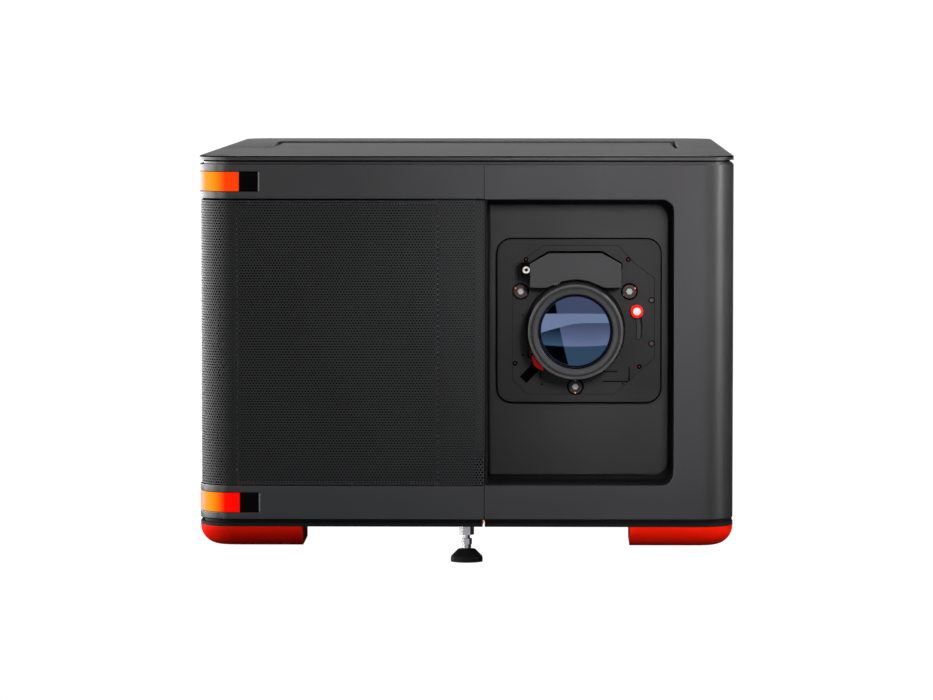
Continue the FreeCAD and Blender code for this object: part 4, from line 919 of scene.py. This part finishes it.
def glowing_card(name, points, distance, bands):
    """A lit card in front of the lens that only the gloss sees. Its corners are places on the front glass,
    in mm from the middle, where they are mirrored; bands are (height on the glass, colour), low to high."""
    reach = 2 * distance / DOME_RADIUS
    tilt = -0.062 * distance
    glass_front = 0.558

    def height(up):
        return LENS.z + tilt + reach * up

    mesh = bpy.data.meshes.new(name)
    corners = [(LENS.x + reach * side, -glass_front - distance, height(up)) for side, up in points]
    mesh.from_pydata(corners, [], [tuple(range(len(points)))])
    obj = bpy.data.objects.new(name, mesh)
    bpy.context.scene.collection.objects.link(obj)
    material = bpy.data.materials.new(name)
    material.use_nodes = True
    tree = material.node_tree
    tree.nodes.clear()
    out = tree.nodes.new("ShaderNodeOutputMaterial")
    glow = tree.nodes.new("ShaderNodeEmission")
    spot = tree.nodes.new("ShaderNodeTexCoord")
    apart = tree.nodes.new("ShaderNodeSeparateXYZ")
    tree.links.new(spot.outputs["Object"], apart.inputs["Vector"])
    lowest, highest = bands[0][0], bands[-1][0]
    rise = ramp(tree, apart.outputs["Z"], height(lowest), height(highest), 0, 1)
    stops = [((up - lowest) / (highest - lowest), colour) for up, colour in bands]
    tree.links.new(colour_scale(tree, rise, stops), glow.inputs["Color"])
    tree.links.new(glow.outputs[0], out.inputs[0])
    mesh.materials.append(material)
    obj.visible_camera = False
    obj.visible_diffuse = False
    obj.visible_shadow = False


def make_cards():
    """What the front glass mirrors: a bright band, a paler wall on the right and a dim one on the left."""
    white, pale, bright = (1.0, 1.0, 1.0), (0.34, 0.34, 0.39), (0.82, 0.81, 0.90)
    teal, dim, black = (0.19, 0.31, 0.335), (0.25, 0.40, 0.46), (0.004, 0.004, 0.006)
    lower_edge = [(-54, -3.0), (-50, -1.4), (-38, 2.4), (-26, 5.6), (-14, 9.0), (-2.3, 11.6), (8, 12.6),
                  (19.4, 12.9), (54, 12.7)]
    glowing_card("card_band", [*lower_edge, (54, 26.8), (-54, 26.8)], 4.90, [(-4, white), (27, white)])
    glowing_card("card_right", [(-9, -63), (60, -63), (60, 60), (-34.1, 60)], 4.94,
                 [(-63, teal), (-22.3, teal), (-21.8, bright), (12.7, pale), (60, pale)])
    glowing_card("card_dark", [(-90, -90), (90, -90), (90, 90), (-90, 90)], 5.02, [(-90, black), (90, black)])
    glowing_card("card_left", [(-60, -22), (-17.4, -22), (-17.4, 9), (-60, 9)], 4.98,
                 [(-22, dim), (9, black)])


def make_floor():
    """Plain floor: white to the camera, dull for the light that bounces off it."""
    mesh = bpy.data.meshes.new("floor")
    reach = 30
    mesh.from_pydata([(-reach, -reach, 0), (reach, -reach, 0), (reach, reach, 0), (-reach, reach, 0)], [],
                     [(0, 1, 2, 3)])
    floor = bpy.data.objects.new("floor", mesh)
    bpy.context.scene.collection.objects.link(floor)
    material = bpy.data.materials.new("pale_floor")
    material.use_nodes = True
    tree = material.node_tree
    tree.nodes.clear()
    out = tree.nodes.new("ShaderNodeOutputMaterial")
    mix = tree.nodes.new("ShaderNodeMixShader")
    seen = tree.nodes.new("ShaderNodeLightPath")
    glow = tree.nodes.new("ShaderNodeEmission")
    dull = tree.nodes.new("ShaderNodeBsdfDiffuse")
    glow.inputs["Strength"].default_value = PAPER_WHITE
    dull.inputs["Color"].default_value = (0.05, 0.05, 0.05, 1)
    tree.links.new(seen.outputs["Is Camera Ray"], mix.inputs[0])
    tree.links.new(dull.outputs[0], mix.inputs[1])
    tree.links.new(glow.outputs[0], mix.inputs[2])
    tree.links.new(mix.outputs[0], out.inputs[0])
    mesh.materials.append(material)
    floor.visible_glossy = False


for node, obj in nodes.items():
    obj.data.materials.clear()
    obj.data.materials.append(FINISH[slot_of[node]])
for node in ("focus_ring", "zoom_ring"):
    nodes[node].data.materials[0] = EXTRA["tooth_black"]

make_covers()
make_grille()
make_top_details()
make_lid_lines()
make_adjusters()
make_plate_holes()
make_barrel_and_glass()
make_lock_details()
make_camera_eye()
make_marks()
make_plate_outline()
make_recess_shade()
make_front_accents()
make_feet_details()
make_ports()
make_board_parts()
make_supply_parts()
make_panel_screws()
make_camera()
make_studio()
make_cards()
make_floor()
bpy.context.scene.view_settings.view_transform = "Standard"
